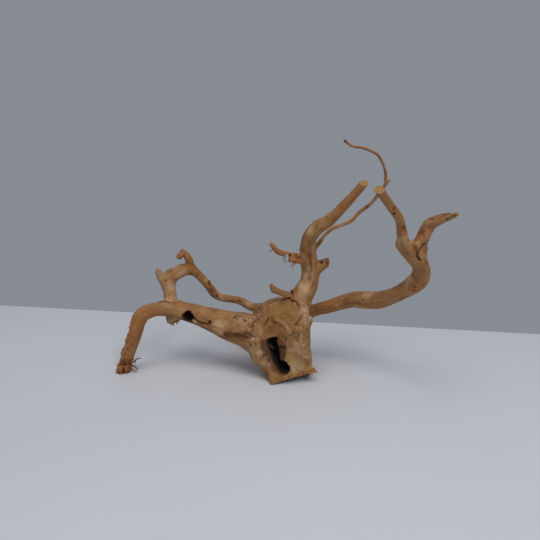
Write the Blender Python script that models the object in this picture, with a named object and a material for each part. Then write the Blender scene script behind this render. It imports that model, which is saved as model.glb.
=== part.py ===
"""Spiderwood root: one piece of root wood that stands on its sawn base and on a raised foot.

A burl carries every limb. The left limb tapers away to a knee and comes down as a leg. A thin
limb behind it joins a prop stem, which grows from the left limb and closes a loop. The crown limb
and the right limb rise from the burl and end in saw cuts. Thin twigs are joined on last.

Every size below is in millimetres: x to the right, y away from the front, z up from the surface.
"""

import math

import bmesh
import bpy
import numpy as np
from mathutils import Matrix, Vector, noise

MM = 0.001
NODE = "spiderwood_root"

# Where the middle of the whole root lies beside the drawing's zero, so that it ends up at x = y = 0.
MIDDLE = (-1.1, -33.0)

# How fine the skin is made before it is thinned out, and how fine it is left.
SKIN_VOXEL = 1.1
SKIN_TRIANGLES = 8300
HOLE_VOXEL = 1.0
POCKET_TRIANGLES = 480
LIMB_HOLE_TRIANGLES = 260
WELD = 0.01

# How often the skin is smoothed, each time half way to the middle of its neighbours.
SMOOTHING = 0.5
CROTCH_ROUNDS = 26
OVERALL_ROUNDS = 3

# The burl is three lumps, each with its centre and its half sizes. The first is the one in front.
BURL = [
    ((12, -9, 56), (29, 28.5, 25)),
    ((22, 7, 52), (21, 16, 22)),
    ((-5, 1, 54), (15, 14, 17)),
]
# The block under it, down to the saw cut.
BLOCK_FOOT_Z = -6.0
BLOCK_FOOT = [(2, -39), (44.5, -35), (43, -14), (40, 4), (30, 14), (4, 12), (-4, -6), (-4, -24)]
BLOCK_TOP_Z = 60.0
BLOCK_TOP = [(-7, -35), (29, -35.5), (38, -28), (40, -14), (38, 3), (16, 15), (-4, 4), (-10, -12)]
# Ribs that carry the grain of the block up into the limbs.
RIBS = [
    [(24, -12, 6, 15), (27, -12, 40, 16.5), (27, -8, 62, 15)],
    [(28, 0, 8, 12), (30, 3, 38, 10.5), (35, 5, 60, 8.5)],
    [(10, 0, 4, 13), (4, 8, 36, 13), (4, 11, 60, 8)],
    [
        (8, -28, -2, 8), (4.5, -27, 8, 9.5), (-0.6, -26, 17, 9.6), (-8, -23.5, 28, 13),
        (-9, -23, 38, 14), (-12, -20, 56, 13),
    ],
]

# Limbs, each as stations of x, y, z and radius.
LEFT_LIMB = [
    (23, -8, 20, 25.5), (2, -12, 33, 23), (-14, -14, 44, 20), (-27, -14, 49.5, 17.5),
    (-42, -13, 53, 15), (-56, -12, 58, 12.8), (-71, -11, 63, 10.5), (-84, -10, 66, 9.5),
    (-97, -9, 68.5, 7.8), (-112, -8.5, 69.5, 7.4), (-123, -8, 67.5, 7.4), (-131.5, -7.5, 63, 7.8),
    (-137, -7, 55, 7.6), (-140, -7, 45, 7), (-144, -7.5, 34, 7), (-148.8, -8, 23, 6.5),
    (-152.3, -9, 13, 6.7), (-155, -10, 4, 7.6), (-157, -10.5, -6, 9),
]
REAR_LIMB = [
    (12, 4, 62, 9), (2.5, 12, 62, 6.8), (-8.5, 20, 60.5, 5.3), (-20, 25, 59.5, 4.7),
    (-34, 30, 65, 4.4), (-45, 32, 66.5, 4.1), (-55, 33, 68, 4.5), (-62, 33, 72, 4.7),
    (-67, 32, 79.5, 4.8), (-78, 29, 95, 4.7), (-84, 27, 102, 5.3), (-86.5, 25, 109, 4.5),
    (-88, 23, 116.5, 4.1), (-91.5, 21, 121.5, 3.6), (-95, 18, 120.5, 3.4), (-96, 16, 117, 2.8),
]
REAR_SPUR = [(-88.5, 23, 117, 3.5), (-91.5, 22, 122, 3.2), (-94, 21, 125.5, 1.9)]
PROP_STEM = [
    (-100.5, -0.5, 52, 5.8), (-101, 0.3, 53.5, 8), (-102.5, 2, 59.5, 8.2), (-104, 4, 69, 7.9),
    (-105.5, 7, 77, 7), (-106.5, 10, 84, 6.8), (-108, 13, 90, 8.2), (-106.5, 16, 96, 8),
    (-98, 19, 101.4, 7.2), (-90.5, 23, 103.3, 6.6), (-83, 27, 99.5, 5),
]
PROP_TINE = [(-109, 13, 90, 6.6), (-115, 12, 97, 4.8), (-117, 10, 103, 3.5), (-117.5, 9, 107, 2.8)]
CROWN_LIMB = [
    (26, -8, 64, 15), (29, -5, 72, 14), (32, -2, 80, 12.3), (37, 2, 87, 11.2), (41, 5, 96, 9.8),
    (42, 7, 105, 9.2), (40.5, 7, 114, 9.6), (39, 5.5, 126, 8.9), (39, 2.5, 138, 7.8),
    (43, -1, 148.5, 7.5), (48, -5, 154.5, 6.9), (55.5, -9, 159.5, 6), (61.2, -13, 165.6, 5.2),
    (67.6, -18, 174.2, 4.7), (78.1, -28, 189.3, 4), (87.6, -37, 203.7, 3.7),
]
CROWN_KNOB = [(43, 7, 106.5, 9), (50, 9, 109.5, 7), (55, 10, 112, 5.5), (64, 12, 115.5, 4.4)]
CROWN_STUB = [(27, -6, 80, 4.6), (17, -14, 87, 3.5), (9.5, -20, 91.6, 3.2), (-3, -31, 101.2, 3.5)]
BACK_STUB = [(18, 8, 36, 12), (21, 20, 41, 8.5), (22, 33, 44, 6.5)]
SIDE_BRANCH = [
    (37, 3, 120, 4.5), (27.5, -2, 123.5, 3.2), (20.5, -5, 126, 2.8), (13.5, -8, 128, 2.8),
    (8, -10, 130, 3), (4.5, -12, 134, 2.6), (0.5, -14, 139.5, 2.3),
]
TORN_BRANCH = [(35, 1, 118, 4.5), (28, -4, 120, 3.2), (20, -7.5, 121, 2.2), (16, -8.5, 121.5, 1.6)]
RIGHT_LIMB = [
    (28, -2, 62, 11), (36, 4, 61.5, 9), (45.5, 8, 61.5, 7.2), (54, 6, 65, 6.8), (63.5, 2, 69, 6.9),
    (73, -3, 74.5, 7.2), (82, -9, 79.5, 7.9), (88.5, -14, 82, 8.4), (96, -20, 83.5, 8.5),
    (103.5, -27, 85.8, 8.2), (110, -34, 90, 7.7), (115.5, -41, 95, 7.3), (120.5, -48, 101.3, 7.2),
    (125, -54, 107.5, 7.6), (129, -60, 115, 8.4), (129.8, -65, 124, 7.6), (126.2, -69, 133, 7),
    (120.7, -72, 140.5, 8.1), (114, -75, 146.5, 7.6), (107.9, -78, 153, 5.2), (105.5, -81, 160, 4.5),
    (103.2, -84, 166, 3.8), (100.2, -87, 173, 3.6), (94.1, -91, 180, 3.5), (88, -95, 186.6, 3.5),
    (75.2, -104, 200.6, 3.5),
]
RIGHT_TINE = [
    (121, -70, 139, 6.6), (122.5, -70, 146, 5.6), (125.7, -69, 152.5, 5.4), (129, -67, 159.3, 5.5),
    (133.3, -64, 165, 5.6), (140, -61, 167.9, 4.8), (147, -58, 170, 4.3), (155, -55, 171.3, 2.5),
    (162, -52, 172.5, 0.8),
]
RIGHT_FLAP = [
    (129.4, -66, 125, 5), (128.5, -67, 135, 3.8), (129, -67, 142.5, 3.2), (130.8, -67, 151.5, 1.2),
]

# Thin twigs, joined on as they are.
WHIP = [
    (41, 5.5, 125, 3.2), (49.3, 8, 133.8, 2.1), (57.4, 10, 144.6, 1.8), (65.2, 11.5, 150, 1.6),
    (75.2, 12, 154, 1.7), (83.2, 12, 157.7, 1.8), (90, 12, 165.5, 1.9), (101, 10, 175, 1.7),
    (108, 8, 185, 1.7), (113, 6, 194, 1.5), (112, 3.5, 205, 1.4), (109, 1, 212.5, 1.4),
    (105.5, -1, 217.5, 1.3), (101.5, -3, 222, 1.4), (87, -7, 228, 1.3), (75, -11, 230, 1.2),
    (67.6, -13.2, 234.6, 1.2),
]
WHIP_FORK = [(112.5, 6.2, 192, 1.4), (115.5, 6, 196, 1), (118, 6, 199, 0.7)]
ROOTLET_UPPER = [
    (-149, -9.5, 11, 1), (-143.5, -11.5, 11.5, 0.8), (-140, -12.5, 15.5, 0.7),
    (-135.5, -13.5, 16.5, 0.6),
]
ROOTLET_LOWER = [(-150, -11, 8, 1), (-143.5, -13.5, 7.5, 0.8), (-139, -15, 4.5, 0.6)]

# Where limbs meet, with the reach of the soft crotch there.
CROTCHES = [
    (-6, -16, 50, 17), (0, 14, 66, 13), (30, -4, 80, 16), (42, 6, 62, 14), (22, -9, 83, 7),
    (47, 8, 106, 8), (33, 1, 122, 6), (-102, 0, 68, 14), (-85, 26, 101, 8), (-112, 13, 94, 7),
    (122, -70, 141, 9), (131, -66, 130, 7), (8, -28, 30, 12), (-10, -22, 26, 10),
    (15, -9, 50, 46), (20, 18, 40, 12), (32, -1, 118, 7),
]

# Swellings and hollows of the burl and limbs: place, radius and height, below zero for a hollow.
SWELLINGS = [
    (-17, -26, 67, 9, 3.6), (-18, -28, 54, 10, 4), (-15, -31, 42, 9, 3.4), (-8, -30, 73, 8, 2.6),
    (35, -22, 71, 10, 4), (41, -16, 60, 8, 3), (28, -33, 57, 10, 2.6), (33, -33, 46, 9, 2.2),
    (3, -16, 78, 9, 2.2), (17, -12, 82, 8, 2),
    (6, -37, 61, 14, -5), (14, -33, 72, 10, -3), (-2, -35, 68, 8, -2.4),
    (-12, 10, 62, 9, 2), (36, 14, 50, 9, 2.2), (8, 20, 62, 9, 2), (-8, 6, 36, 10, 2),
    (43, -16, 46, 13, -2.4), (42, -27, 40, 13, -1.6), (18, -38, 8, 14, 1.2),
    (103, -76, 149.4, 7, 1.6), (-78, -5, 76, 6, 1.5),
    (-95, -4, 76, 9, 3), (-108, -3, 76, 8, 2), (-88, 21, 116, 5, 1.2), (-95, 18, 120, 4, 1),
    (-137, -4, 60, 8, 1.2), (-88, -8, 73, 8, 1.5), (58, -12, 166, 6, 1.3), (-40, -26, 46, 10, 1),
    (-30, 0, 58, 12, 1.6), (30, 16, 34, 9, -2), (-2, 10, 20, 9, -1.8),
    (104, -20, 80, 8, 1.2), (110, -76, 146, 6, 1.2), (-152, -13, 30, 5, 1), (42, 2, 108, 7, 0.8),
]
# The uneven knarl all over: its height on the burl, the share of it on the limbs, and its span.
KNARL_HEIGHT = 0.9
KNARL_ON_LIMBS = 0.4
KNARL_FADE = 2.2
KNARL_SPAN = 16.0

# Holes: the rotten pocket in the front of the block, and the one under the left limb.
POCKET_GROOVE = [
    (3, -39, 46, 5.5), (7, -40, 39, 8), (10, -40, 31, 7), (14, -41, 23, 6), (16, -41, 18, 5.2),
]
POCKET_SLOT = [(2, -32, 45.5, 4.4), (5, -31, 38, 4.4), (9, -31, 29.5, 4.4), (14.5, -33, 20, 4.8)]
POCKET_UPPER = [(1.5, -42, 46, 4.6), (3, -30, 46, 4.4), (8, -20, 45, 3)]
POCKET_LOWER = [(15.5, -42, 18.5, 5), (15, -30, 20.5, 5), (13, -20, 25, 3.4)]
LIMB_HOLE = [(-83.5, -27, 61, 6.2), (-83.5, -15.5, 64.5, 5.6), (-84, -10, 66.5, 3.4)]
LIMB_GROOVE = [(-79, -21, 63.5, 3), (-72, -22, 62, 2.6), (-65, -23.5, 60, 2.6), (-60, -25, 59, 2.6)]

# Saw cuts and breaks: a point on each face, the way it faces, and how wide the cutter is.
CUTS = {
    "base": ((0, 0, 0), (0, 0, -1), 700),
    "chipped_corner": ((0, -39, 0), (325, -598, -966), 130),
    "crown_end": ((83.5, -33, 197.5), (0.1, -0.6, 0.8), 30),
    "right_end": ((80, -101, 196.5), (-0.25, -0.75, 0.6), 24),
    "stub_end": ((0.6, -27.5, 98.8), (-0.93, -0.3, -0.2), 18),
    "knob_end": ((61.3, 11, 114.6), (0.95, -0.25, 0.1), 20),
    "back_stub_end": ((21.5, 28, 43), (0.1, 1, 0.15), 26),
    "torn_end": ((18.5, -7.5, 121), (-1, -0.3, 0.25), 10),
}
CUT_DEPTH = 30.0

WOOD_COLOUR = (0.19, 0.105, 0.052, 1.0)
WOOD_ROUGHNESS = 0.78
SHARP_ANGLE = 45.0


def clear_scene():
    for obj in list(bpy.data.objects):
        bpy.data.objects.remove(obj)


def link(name, mesh):
    obj = bpy.data.objects.new(name, mesh)
    bpy.context.scene.collection.objects.link(obj)
    return obj


def make_cutter(obj):
    obj.hide_render = True
    obj.display_type = "WIRE"
    return obj


def applied(obj, name):
    """The object's evaluated mesh, under a new name, with the object taken away."""
    graph = bpy.context.evaluated_depsgraph_get()
    mesh = bpy.data.meshes.new_from_object(obj.evaluated_get(graph))
    mesh.name = name
    bpy.data.objects.remove(obj)
    return mesh


def limb_mesh(name, stations, rings=5, sides=16):
    """A round limb: a bevelled curve that runs smoothly through its stations."""
    curve = bpy.data.curves.new(name, "CURVE")
    curve.dimensions = "3D"
    curve.bevel_depth = MM
    curve.bevel_resolution = (sides - 4) // 2
    curve.use_fill_caps = True
    curve.resolution_u = rings
    spline = curve.splines.new("BEZIER")
    spline.bezier_points.add(len(stations) - 1)
    for point, (x, y, z, radius) in zip(spline.bezier_points, stations):
        point.co = Vector((x, y, z)) * MM
        point.radius = radius
        point.handle_left_type = "AUTO"
        point.handle_right_type = "AUTO"
    return applied(link(name, curve), name)


def burl_mesh(bm):
    for centre, half_sizes in BURL:
        stretch = Matrix.Diagonal(Vector(half_sizes) * MM).to_4x4()
        place = Matrix.Translation(Vector(centre) * MM)
        bmesh.ops.create_icosphere(bm, subdivisions=4, radius=1.0, matrix=place @ stretch)


def block_mesh(bm):
    """The block under the burl: the hull of its outline at the foot and at the top."""
    corners = [(x, y, BLOCK_FOOT_Z) for x, y in BLOCK_FOOT] + [(x, y, BLOCK_TOP_Z) for x, y in BLOCK_TOP]
    verts = [bm.verts.new(Vector(corner) * MM) for corner in corners]
    bmesh.ops.convex_hull(bm, input=verts)


def grown_together(name, stations_lists, with_burl, voxel):
    """Limbs, and the burl and block if asked, merged into one skin."""
    bm = bmesh.new()
    for stations in stations_lists:
        mesh = limb_mesh(name, stations)
        bm.from_mesh(mesh)
        bpy.data.meshes.remove(mesh)
    if with_burl:
        burl_mesh(bm)
        block_mesh(bm)
    bmesh.ops.remove_doubles(bm, verts=bm.verts, dist=WELD * MM)
    mesh = bpy.data.meshes.new(name)
    bm.to_mesh(mesh)
    bm.free()
    obj = link(name, mesh)
    remesh = obj.modifiers.new("one_skin", "REMESH")
    remesh.mode = "VOXEL"
    remesh.voxel_size = voxel * MM
    return obj


def soften(obj):
    """Rounds the crotches much and the rest a little."""
    mesh = applied(obj, NODE)
    obj = link(NODE, mesh)
    group = obj.vertex_groups.new(name="crotch")
    for vert in mesh.vertices:
        place = vert.co / MM
        near = max(1.0 - (place - Vector(spot[:3])).length / spot[3] for spot in CROTCHES)
        if near > 0.0:
            group.add([vert.index], min(1.0, 2.0 * near), "REPLACE")
    crotch = obj.modifiers.new("crotches", "SMOOTH")
    crotch.vertex_group = group.name
    crotch.factor = SMOOTHING
    crotch.iterations = CROTCH_ROUNDS
    overall = obj.modifiers.new("overall", "SMOOTH")
    overall.factor = SMOOTHING
    overall.iterations = OVERALL_ROUNDS
    return link(NODE, applied(obj, NODE))


def swell(mesh):
    """Moves the skin out over swellings, in over hollows, and a little all over as a knarl."""
    places = np.empty(len(mesh.vertices) * 3)
    mesh.vertices.foreach_get("co", places)
    places = places.reshape(-1, 3) / MM
    normals = np.array([normal.vector for normal in mesh.vertex_normals])
    height = np.zeros(len(places))
    for x, y, z, radius, rise in SWELLINGS:
        away = np.linalg.norm(places - (x, y, z), axis=1) / radius
        height += rise * np.clip(1.0 - away**2, 0.0, 1.0) ** 2
    centre, half_sizes = BURL[0]
    from_burl = np.linalg.norm((places - centre) / half_sizes, axis=1)
    knarl = KNARL_HEIGHT * np.clip(KNARL_FADE - from_burl, KNARL_ON_LIMBS, 1.0)
    height += knarl * [noise.noise(Vector(place / KNARL_SPAN)) for place in places]
    places += normals * height[:, None]
    mesh.vertices.foreach_set("co", (places * MM).ravel())
    mesh.update()


def thin_out(obj, triangles):
    """Fewer triangles, kept where the skin bends."""
    decimate = obj.modifiers.new("fewer_faces", "DECIMATE")
    obj.data.calc_loop_triangles()
    decimate.ratio = triangles / len(obj.data.loop_triangles)
    decimate.use_collapse_triangulate = True


def cut_with(obj, cutter):
    boolean = obj.modifiers.new(cutter.name, "BOOLEAN")
    boolean.operation = "DIFFERENCE"
    boolean.solver = "EXACT"
    boolean.object = make_cutter(cutter)


def flat_cutter(name, point, facing, width):
    """A block whose near face passes through the point and faces back along its way out."""
    bm = bmesh.new()
    size = Matrix.Diagonal(Vector((width, width, CUT_DEPTH)) * MM).to_4x4()
    forward = Matrix.Translation((0.0, 0.0, 0.5 * CUT_DEPTH * MM))
    turn = Vector(facing).to_track_quat("Z", "Y").to_matrix().to_4x4()
    place = Matrix.Translation(Vector(point) * MM)
    bmesh.ops.create_cube(bm, size=1.0, matrix=place @ turn @ forward @ size)
    mesh = bpy.data.meshes.new(name)
    bm.to_mesh(mesh)
    bm.free()
    return link(name, mesh)


def hole_cutter(name, stations_lists, triangles):
    cutter = grown_together(name, stations_lists, with_burl=False, voxel=HOLE_VOXEL)
    cutter = link(name, applied(cutter, name))
    thin_out(cutter, triangles)
    return link(name, applied(cutter, name))


def add_twigs(obj):
    """Joins the thin twigs on by one union."""
    twigs = bpy.data.collections.new("twigs")
    bpy.context.scene.collection.children.link(twigs)
    shapes = {
        "whip": (WHIP, 3, 6),
        "whip_fork": (WHIP_FORK, 1, 6),
        "rootlet_upper": (ROOTLET_UPPER, 2, 4),
        "rootlet_lower": (ROOTLET_LOWER, 2, 4),
    }
    for name, (stations, rings, sides) in shapes.items():
        bm = bmesh.new()
        bm.from_mesh(limb_mesh(name, stations, rings, sides))
        bmesh.ops.remove_doubles(bm, verts=bm.verts, dist=WELD * MM)
        bmesh.ops.recalc_face_normals(bm, faces=bm.faces)
        mesh = bpy.data.meshes.new(name)
        bm.to_mesh(mesh)
        bm.free()
        twigs.objects.link(make_cutter(bpy.data.objects.new(name, mesh)))
    union = obj.modifiers.new("twigs", "BOOLEAN")
    union.operation = "UNION"
    union.solver = "EXACT"
    union.operand_type = "COLLECTION"
    union.collection = twigs


def wood_material():
    material = bpy.data.materials.new("root_wood")
    material.use_nodes = True
    shader = material.node_tree.nodes["Principled BSDF"]
    shader.inputs["Base Color"].default_value = WOOD_COLOUR
    shader.inputs["Roughness"].default_value = WOOD_ROUGHNESS
    shader.inputs["Metallic"].default_value = 0.0
    return material


def build_root():
    limbs = [
        LEFT_LIMB, REAR_LIMB, REAR_SPUR, PROP_STEM, PROP_TINE, CROWN_LIMB, CROWN_KNOB,
        CROWN_STUB, BACK_STUB, SIDE_BRANCH, TORN_BRANCH, RIGHT_LIMB, RIGHT_TINE, RIGHT_FLAP,
    ]
    root = soften(grown_together(NODE, limbs + RIBS, with_burl=True, voxel=SKIN_VOXEL))
    swell(root.data)
    thin_out(root, SKIN_TRIANGLES)
    for name, (point, facing, width) in CUTS.items():
        cut_with(root, flat_cutter(name, point, facing, width))
    pocket = [POCKET_GROOVE, POCKET_SLOT, POCKET_UPPER, POCKET_LOWER]
    cut_with(root, hole_cutter("pocket", pocket, POCKET_TRIANGLES))
    cut_with(root, hole_cutter("limb_hole", [LIMB_HOLE, LIMB_GROOVE], LIMB_HOLE_TRIANGLES))
    add_twigs(root)
    root.data.materials.append(wood_material())
    return root


def set_on_origin(root):
    """Puts the middle of the root's outline over the origin."""
    shift = Vector((-MIDDLE[0], -MIDDLE[1], 0.0)) * MM
    for obj in bpy.data.objects:
        obj.location = obj.location + shift
    root.data.shade_smooth()
    root.data.set_sharp_from_angle(angle=math.radians(SHARP_ANGLE))


clear_scene()
set_on_origin(build_root())
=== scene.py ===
"""Spiderwood root: one piece of root wood with its burl, limbs, whip, sawn ends and raised foot.

Sizes in the lists are millimetres: x to the right, y away from the front, z up from the surface.
They are measured from the drawing's zero, and DRAWING_SHIFT brings them into the model's frame.
"""

import math

import bmesh
import bpy
import numpy as np
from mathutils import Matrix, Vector
from mathutils.bvhtree import BVHTree


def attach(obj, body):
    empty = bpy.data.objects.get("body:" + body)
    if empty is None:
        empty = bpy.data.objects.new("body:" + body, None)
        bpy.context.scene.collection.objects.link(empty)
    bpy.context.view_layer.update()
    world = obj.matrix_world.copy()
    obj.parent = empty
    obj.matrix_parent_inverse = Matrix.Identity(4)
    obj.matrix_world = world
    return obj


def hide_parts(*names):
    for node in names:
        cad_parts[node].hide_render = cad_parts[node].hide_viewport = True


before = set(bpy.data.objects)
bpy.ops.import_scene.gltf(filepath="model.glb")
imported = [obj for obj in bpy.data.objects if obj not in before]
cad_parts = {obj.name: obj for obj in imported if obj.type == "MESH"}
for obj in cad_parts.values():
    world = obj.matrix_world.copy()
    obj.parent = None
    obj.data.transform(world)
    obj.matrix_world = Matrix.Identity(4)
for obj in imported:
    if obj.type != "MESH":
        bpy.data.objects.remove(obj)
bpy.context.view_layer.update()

bl_info = {
    "name": "Spiderwood root",
    "version": (1, 0, 0),
    "blender": (4, 5, 0),
    "location": "View3D > Sidebar > Root",
    "description": "Grows a spiderwood root with its burl, limbs, twigs, bark and sawn ends",
    "category": "Add Mesh",
}

BODY = "root"
NODE = "spiderwood_root"
MM = 0.001
DRAWING_SHIFT = np.array((1.1, 33.0, 0.0))

# The burl is three lumps, each with its centre and its half sizes. The first is the one in front.
BURL = [
    ((12, -9, 56), (29, 28.5, 25)),
    ((22, 7, 52), (21, 16, 22)),
    ((-5, 1, 54), (15, 14, 17)),
]
# The block under it: its outline at the foot, below the saw cut, and at the top.
BLOCK_FOOT_Z = -6.0
BLOCK_FOOT = [(2, -39), (44.5, -35), (43, -14), (40, 4), (30, 14), (4, 12), (-4, -6), (-4, -24)]
BLOCK_TOP_Z = 60.0
BLOCK_TOP = [(-7, -35), (29, -35.5), (38, -28), (40, -14), (38, 3), (16, 15), (-4, 4), (-10, -12)]

# Limbs, each as stations of x, y, z and radius.
LIMBS = {
    "left_limb": [
        (23, -8, 20, 25.5), (2, -12, 33, 23), (-14, -14, 44, 20), (-27, -14, 49.5, 17.5),
        (-42, -13, 53, 15), (-56, -12, 58, 12.8), (-71, -11, 63, 10.5), (-84, -10, 66, 9.5),
        (-97, -9, 68.5, 7.8), (-112, -8.5, 69.5, 7.4), (-123, -8, 67.5, 7.4),
        (-131.5, -7.5, 63, 7.8), (-137, -7, 55, 7.6), (-140, -7, 45, 7), (-144, -7.5, 34, 7),
        (-148.8, -8, 23, 6.5), (-152.3, -9, 13, 6.7), (-155, -10, 4, 7.6), (-157, -10.5, -6, 9),
    ],
    "rear_limb": [
        (12, 4, 62, 9), (2.5, 12, 62, 6.8), (-8.5, 20, 60.5, 5.3), (-20, 25, 59.5, 4.7),
        (-34, 30, 65, 4.4), (-45, 32, 66.5, 4.1), (-55, 33, 68, 4.5), (-62, 33, 72, 4.7),
        (-67, 32, 79.5, 4.8), (-78, 29, 95, 4.7), (-84, 27, 102, 5.3), (-86.5, 25, 109, 4.5),
        (-88, 23, 116.5, 4.1), (-91.5, 21, 121.5, 3.6), (-95, 18, 120.5, 3.4),
        (-96, 16, 117, 2.8),
    ],
    "rear_spur": [(-88.5, 23, 117, 3.5), (-91.5, 22, 122, 3.2), (-94, 21, 125.5, 1.9)],
    "prop_stem": [
        (-100.5, -0.5, 52, 5.8), (-101, 0.3, 53.5, 8), (-102.5, 2, 59.5, 8.2),
        (-104, 4, 69, 7.9), (-105.5, 7, 77, 7), (-106.5, 10, 84, 6.8), (-108, 13, 90, 8.2),
        (-106.5, 16, 96, 8), (-98, 19, 101.4, 7.2), (-90.5, 23, 103.3, 6.6), (-83, 27, 99.5, 5),
    ],
    "prop_tine": [
        (-109, 13, 90, 6.6), (-115, 12, 97, 4.8), (-117, 10, 103, 3.5), (-117.5, 9, 107, 2.8),
    ],
    "crown_limb": [
        (26, -8, 64, 15), (29, -5, 72, 14), (32, -2, 80, 12.3), (37, 2, 87, 11.2),
        (41, 5, 96, 9.8), (42, 7, 105, 9.2), (40.5, 7, 114, 9.6), (39, 5.5, 126, 8.9),
        (39, 2.5, 138, 7.8), (43, -1, 148.5, 7.5), (48, -5, 154.5, 6.9), (55.5, -9, 159.5, 6),
        (61.2, -13, 165.6, 5.2), (67.6, -18, 174.2, 4.7), (78.1, -28, 189.3, 4), (87.6, -37, 203.7, 3.7),
    ],
    "crown_knob": [(43, 7, 106.5, 9), (50, 9, 109.5, 7), (55, 10, 112, 5.5), (64, 12, 115.5, 4.4)],
    "crown_stub": [(27, -6, 80, 4.6), (17, -14, 87, 3.5), (9.5, -20, 91.6, 3.2), (-3, -31, 101.2, 3.5)],
    "back_stub": [(18, 8, 36, 12), (21, 20, 41, 8.5), (22, 33, 44, 6.5)],
    "side_branch": [
        (37, 3, 120, 4.5), (27.5, -2, 123.5, 3.2), (20.5, -5, 126, 2.8), (13.5, -8, 128, 2.8),
        (8, -10, 130, 3), (4.5, -12, 134, 2.6), (0.5, -14, 139.5, 2.3),
    ],
    "torn_branch": [(35, 1, 118, 4.5), (28, -4, 120, 3.2), (20, -7.5, 121, 2.2), (16, -8.5, 121.5, 1.6)],
    "right_limb": [
        (28, -2, 62, 11), (36, 4, 61.5, 9), (45.5, 8, 61.5, 7.2), (54, 6, 65, 6.8),
        (63.5, 2, 69, 6.9), (73, -3, 74.5, 7.2), (82, -9, 79.5, 7.9), (88.5, -14, 82, 8.4),
        (96, -20, 83.5, 8.5), (103.5, -27, 85.8, 8.2), (110, -34, 90, 7.7),
        (115.5, -41, 95, 7.3), (120.5, -48, 101.3, 7.2), (125, -54, 107.5, 7.6),
        (129, -60, 115, 8.4), (129.8, -65, 124, 7.6), (126.2, -69, 133, 7),
        (120.7, -72, 140.5, 8.1), (114, -75, 146.5, 7.6), (107.9, -78, 153, 5.2),
        (105.5, -81, 160, 4.5), (103.2, -84, 166, 3.8), (100.2, -87, 173, 3.6), (94.1, -91, 180, 3.5),
        (88, -95, 186.6, 3.5), (75.2, -104, 200.6, 3.5),
    ],
    "right_tine": [
        (121, -70, 139, 6.6), (122.5, -70, 146, 5.6), (125.7, -69, 152.5, 5.4), (129, -67, 159.3, 5.5),
        (133.3, -64, 165, 5.6), (140, -61, 167.9, 4.8), (147, -58, 170, 4.3), (155, -55, 171.3, 2.5),
        (162, -52, 172.5, 0.8),
    ],
    "right_flap": [
        (129.4, -66, 125, 5), (128.5, -67, 135, 3.8), (129, -67, 142.5, 3.2), (130.8, -67, 151.5, 1.2),
    ],
    "rib_front": [(24, -12, 6, 15), (27, -12, 40, 16.5), (27, -8, 62, 15)],
    "rib_right": [(28, 0, 8, 12), (30, 3, 38, 10.5), (35, 5, 60, 8.5)],
    "rib_back": [(10, 0, 4, 13), (4, 8, 36, 13), (4, 11, 60, 8)],
    "rib_left": [
        (8, -28, -2, 8), (4.5, -27, 8, 9.5), (-0.6, -26, 17, 9.6), (-8, -23.5, 28, 13),
        (-9, -23, 38, 14), (-12, -20, 56, 13),
    ],
}

# Where limbs meet, with the reach of the soft crotch there.
CROTCHES = [
    (-6, -16, 50, 17), (0, 14, 66, 13), (30, -4, 80, 16), (42, 6, 62, 14), (22, -9, 83, 7),
    (47, 8, 106, 8), (33, 1, 122, 6), (-102, 0, 68, 14), (-85, 26, 101, 8), (-112, 13, 94, 7),
    (122, -70, 141, 9), (131, -66, 130, 7), (8, -28, 30, 12), (-10, -22, 26, 10),
    (15, -9, 50, 46), (20, 18, 40, 12), (32, -1, 118, 7),
]

# Swellings and hollows: place, radius and height, below zero for a hollow.
SWELLINGS = [
    (-17, -26, 67, 9, 3.6), (-18, -28, 54, 10, 4), (-15, -31, 42, 9, 3.4), (-8, -30, 73, 8, 2.6),
    (35, -22, 71, 10, 4), (41, -16, 60, 8, 3), (28, -33, 57, 10, 2.6), (33, -33, 46, 9, 2.2),
    (3, -16, 78, 9, 2.2), (17, -12, 82, 8, 2),
    (6, -37, 61, 14, -5), (14, -33, 72, 10, -3), (-2, -35, 68, 8, -2.4),
    (-12, 10, 62, 9, 2), (36, 14, 50, 9, 2.2), (8, 20, 62, 9, 2), (-8, 6, 36, 10, 2),
    (43, -16, 46, 13, -2.4), (42, -27, 40, 13, -1.6), (18, -38, 8, 14, 1.2),
    (103, -76, 149.4, 7, 1.6), (-78, -5, 76, 6, 1.5),
    (-95, -4, 76, 9, 3), (-108, -3, 76, 8, 2), (-88, 21, 116, 5, 1.2), (-95, 18, 120, 4, 1),
    (-137, -4, 60, 8, 1.2), (-88, -8, 73, 8, 1.5), (58, -12, 166, 6, 1.3), (-40, -26, 46, 10, 1),
    (-30, 0, 58, 12, 1.6), (30, 16, 34, 9, -2), (-2, 10, 20, 9, -1.8),
    (104, -20, 80, 8, 1.2), (110, -76, 146, 6, 1.2), (-152, -13, 30, 5, 1), (42, 2, 108, 7, 0.8),
]

# The rotten pocket in the front of the block, and the hole under the left limb.
HOLES = {
    "pocket_slot": [(1.6, -36, 45, 3.6), (3.2, -35, 38, 3.6), (5.8, -35, 31, 3.6), (11, -36, 21, 4)],
    "pocket_depth": [(5, -29, 45, 5.2), (7, -28, 38, 5.6), (9, -28, 29, 5.2), (13, -29, 20, 5.2)],
    "pocket_upper": [(0.2, -38, 45.4, 3.6), (4.6, -38, 44.6, 3.6), (4, -30, 45, 5), (8, -20, 45, 3)],
    "pocket_lower": [(14.6, -41, 15.6, 4.7), (14.6, -30, 17, 5.2), (13, -20, 22, 3.4)],
    "limb_hole": [(-82, -27, 63.4, 6.4), (-82.6, -15.5, 65, 6.2), (-84, -10, 66.5, 3.4)],
    "limb_hole_tail": [(-79, -22, 64, 3), (-75, -22.5, 63, 2.3), (-72.5, -22.5, 61.5, 1.5)],
}
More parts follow.
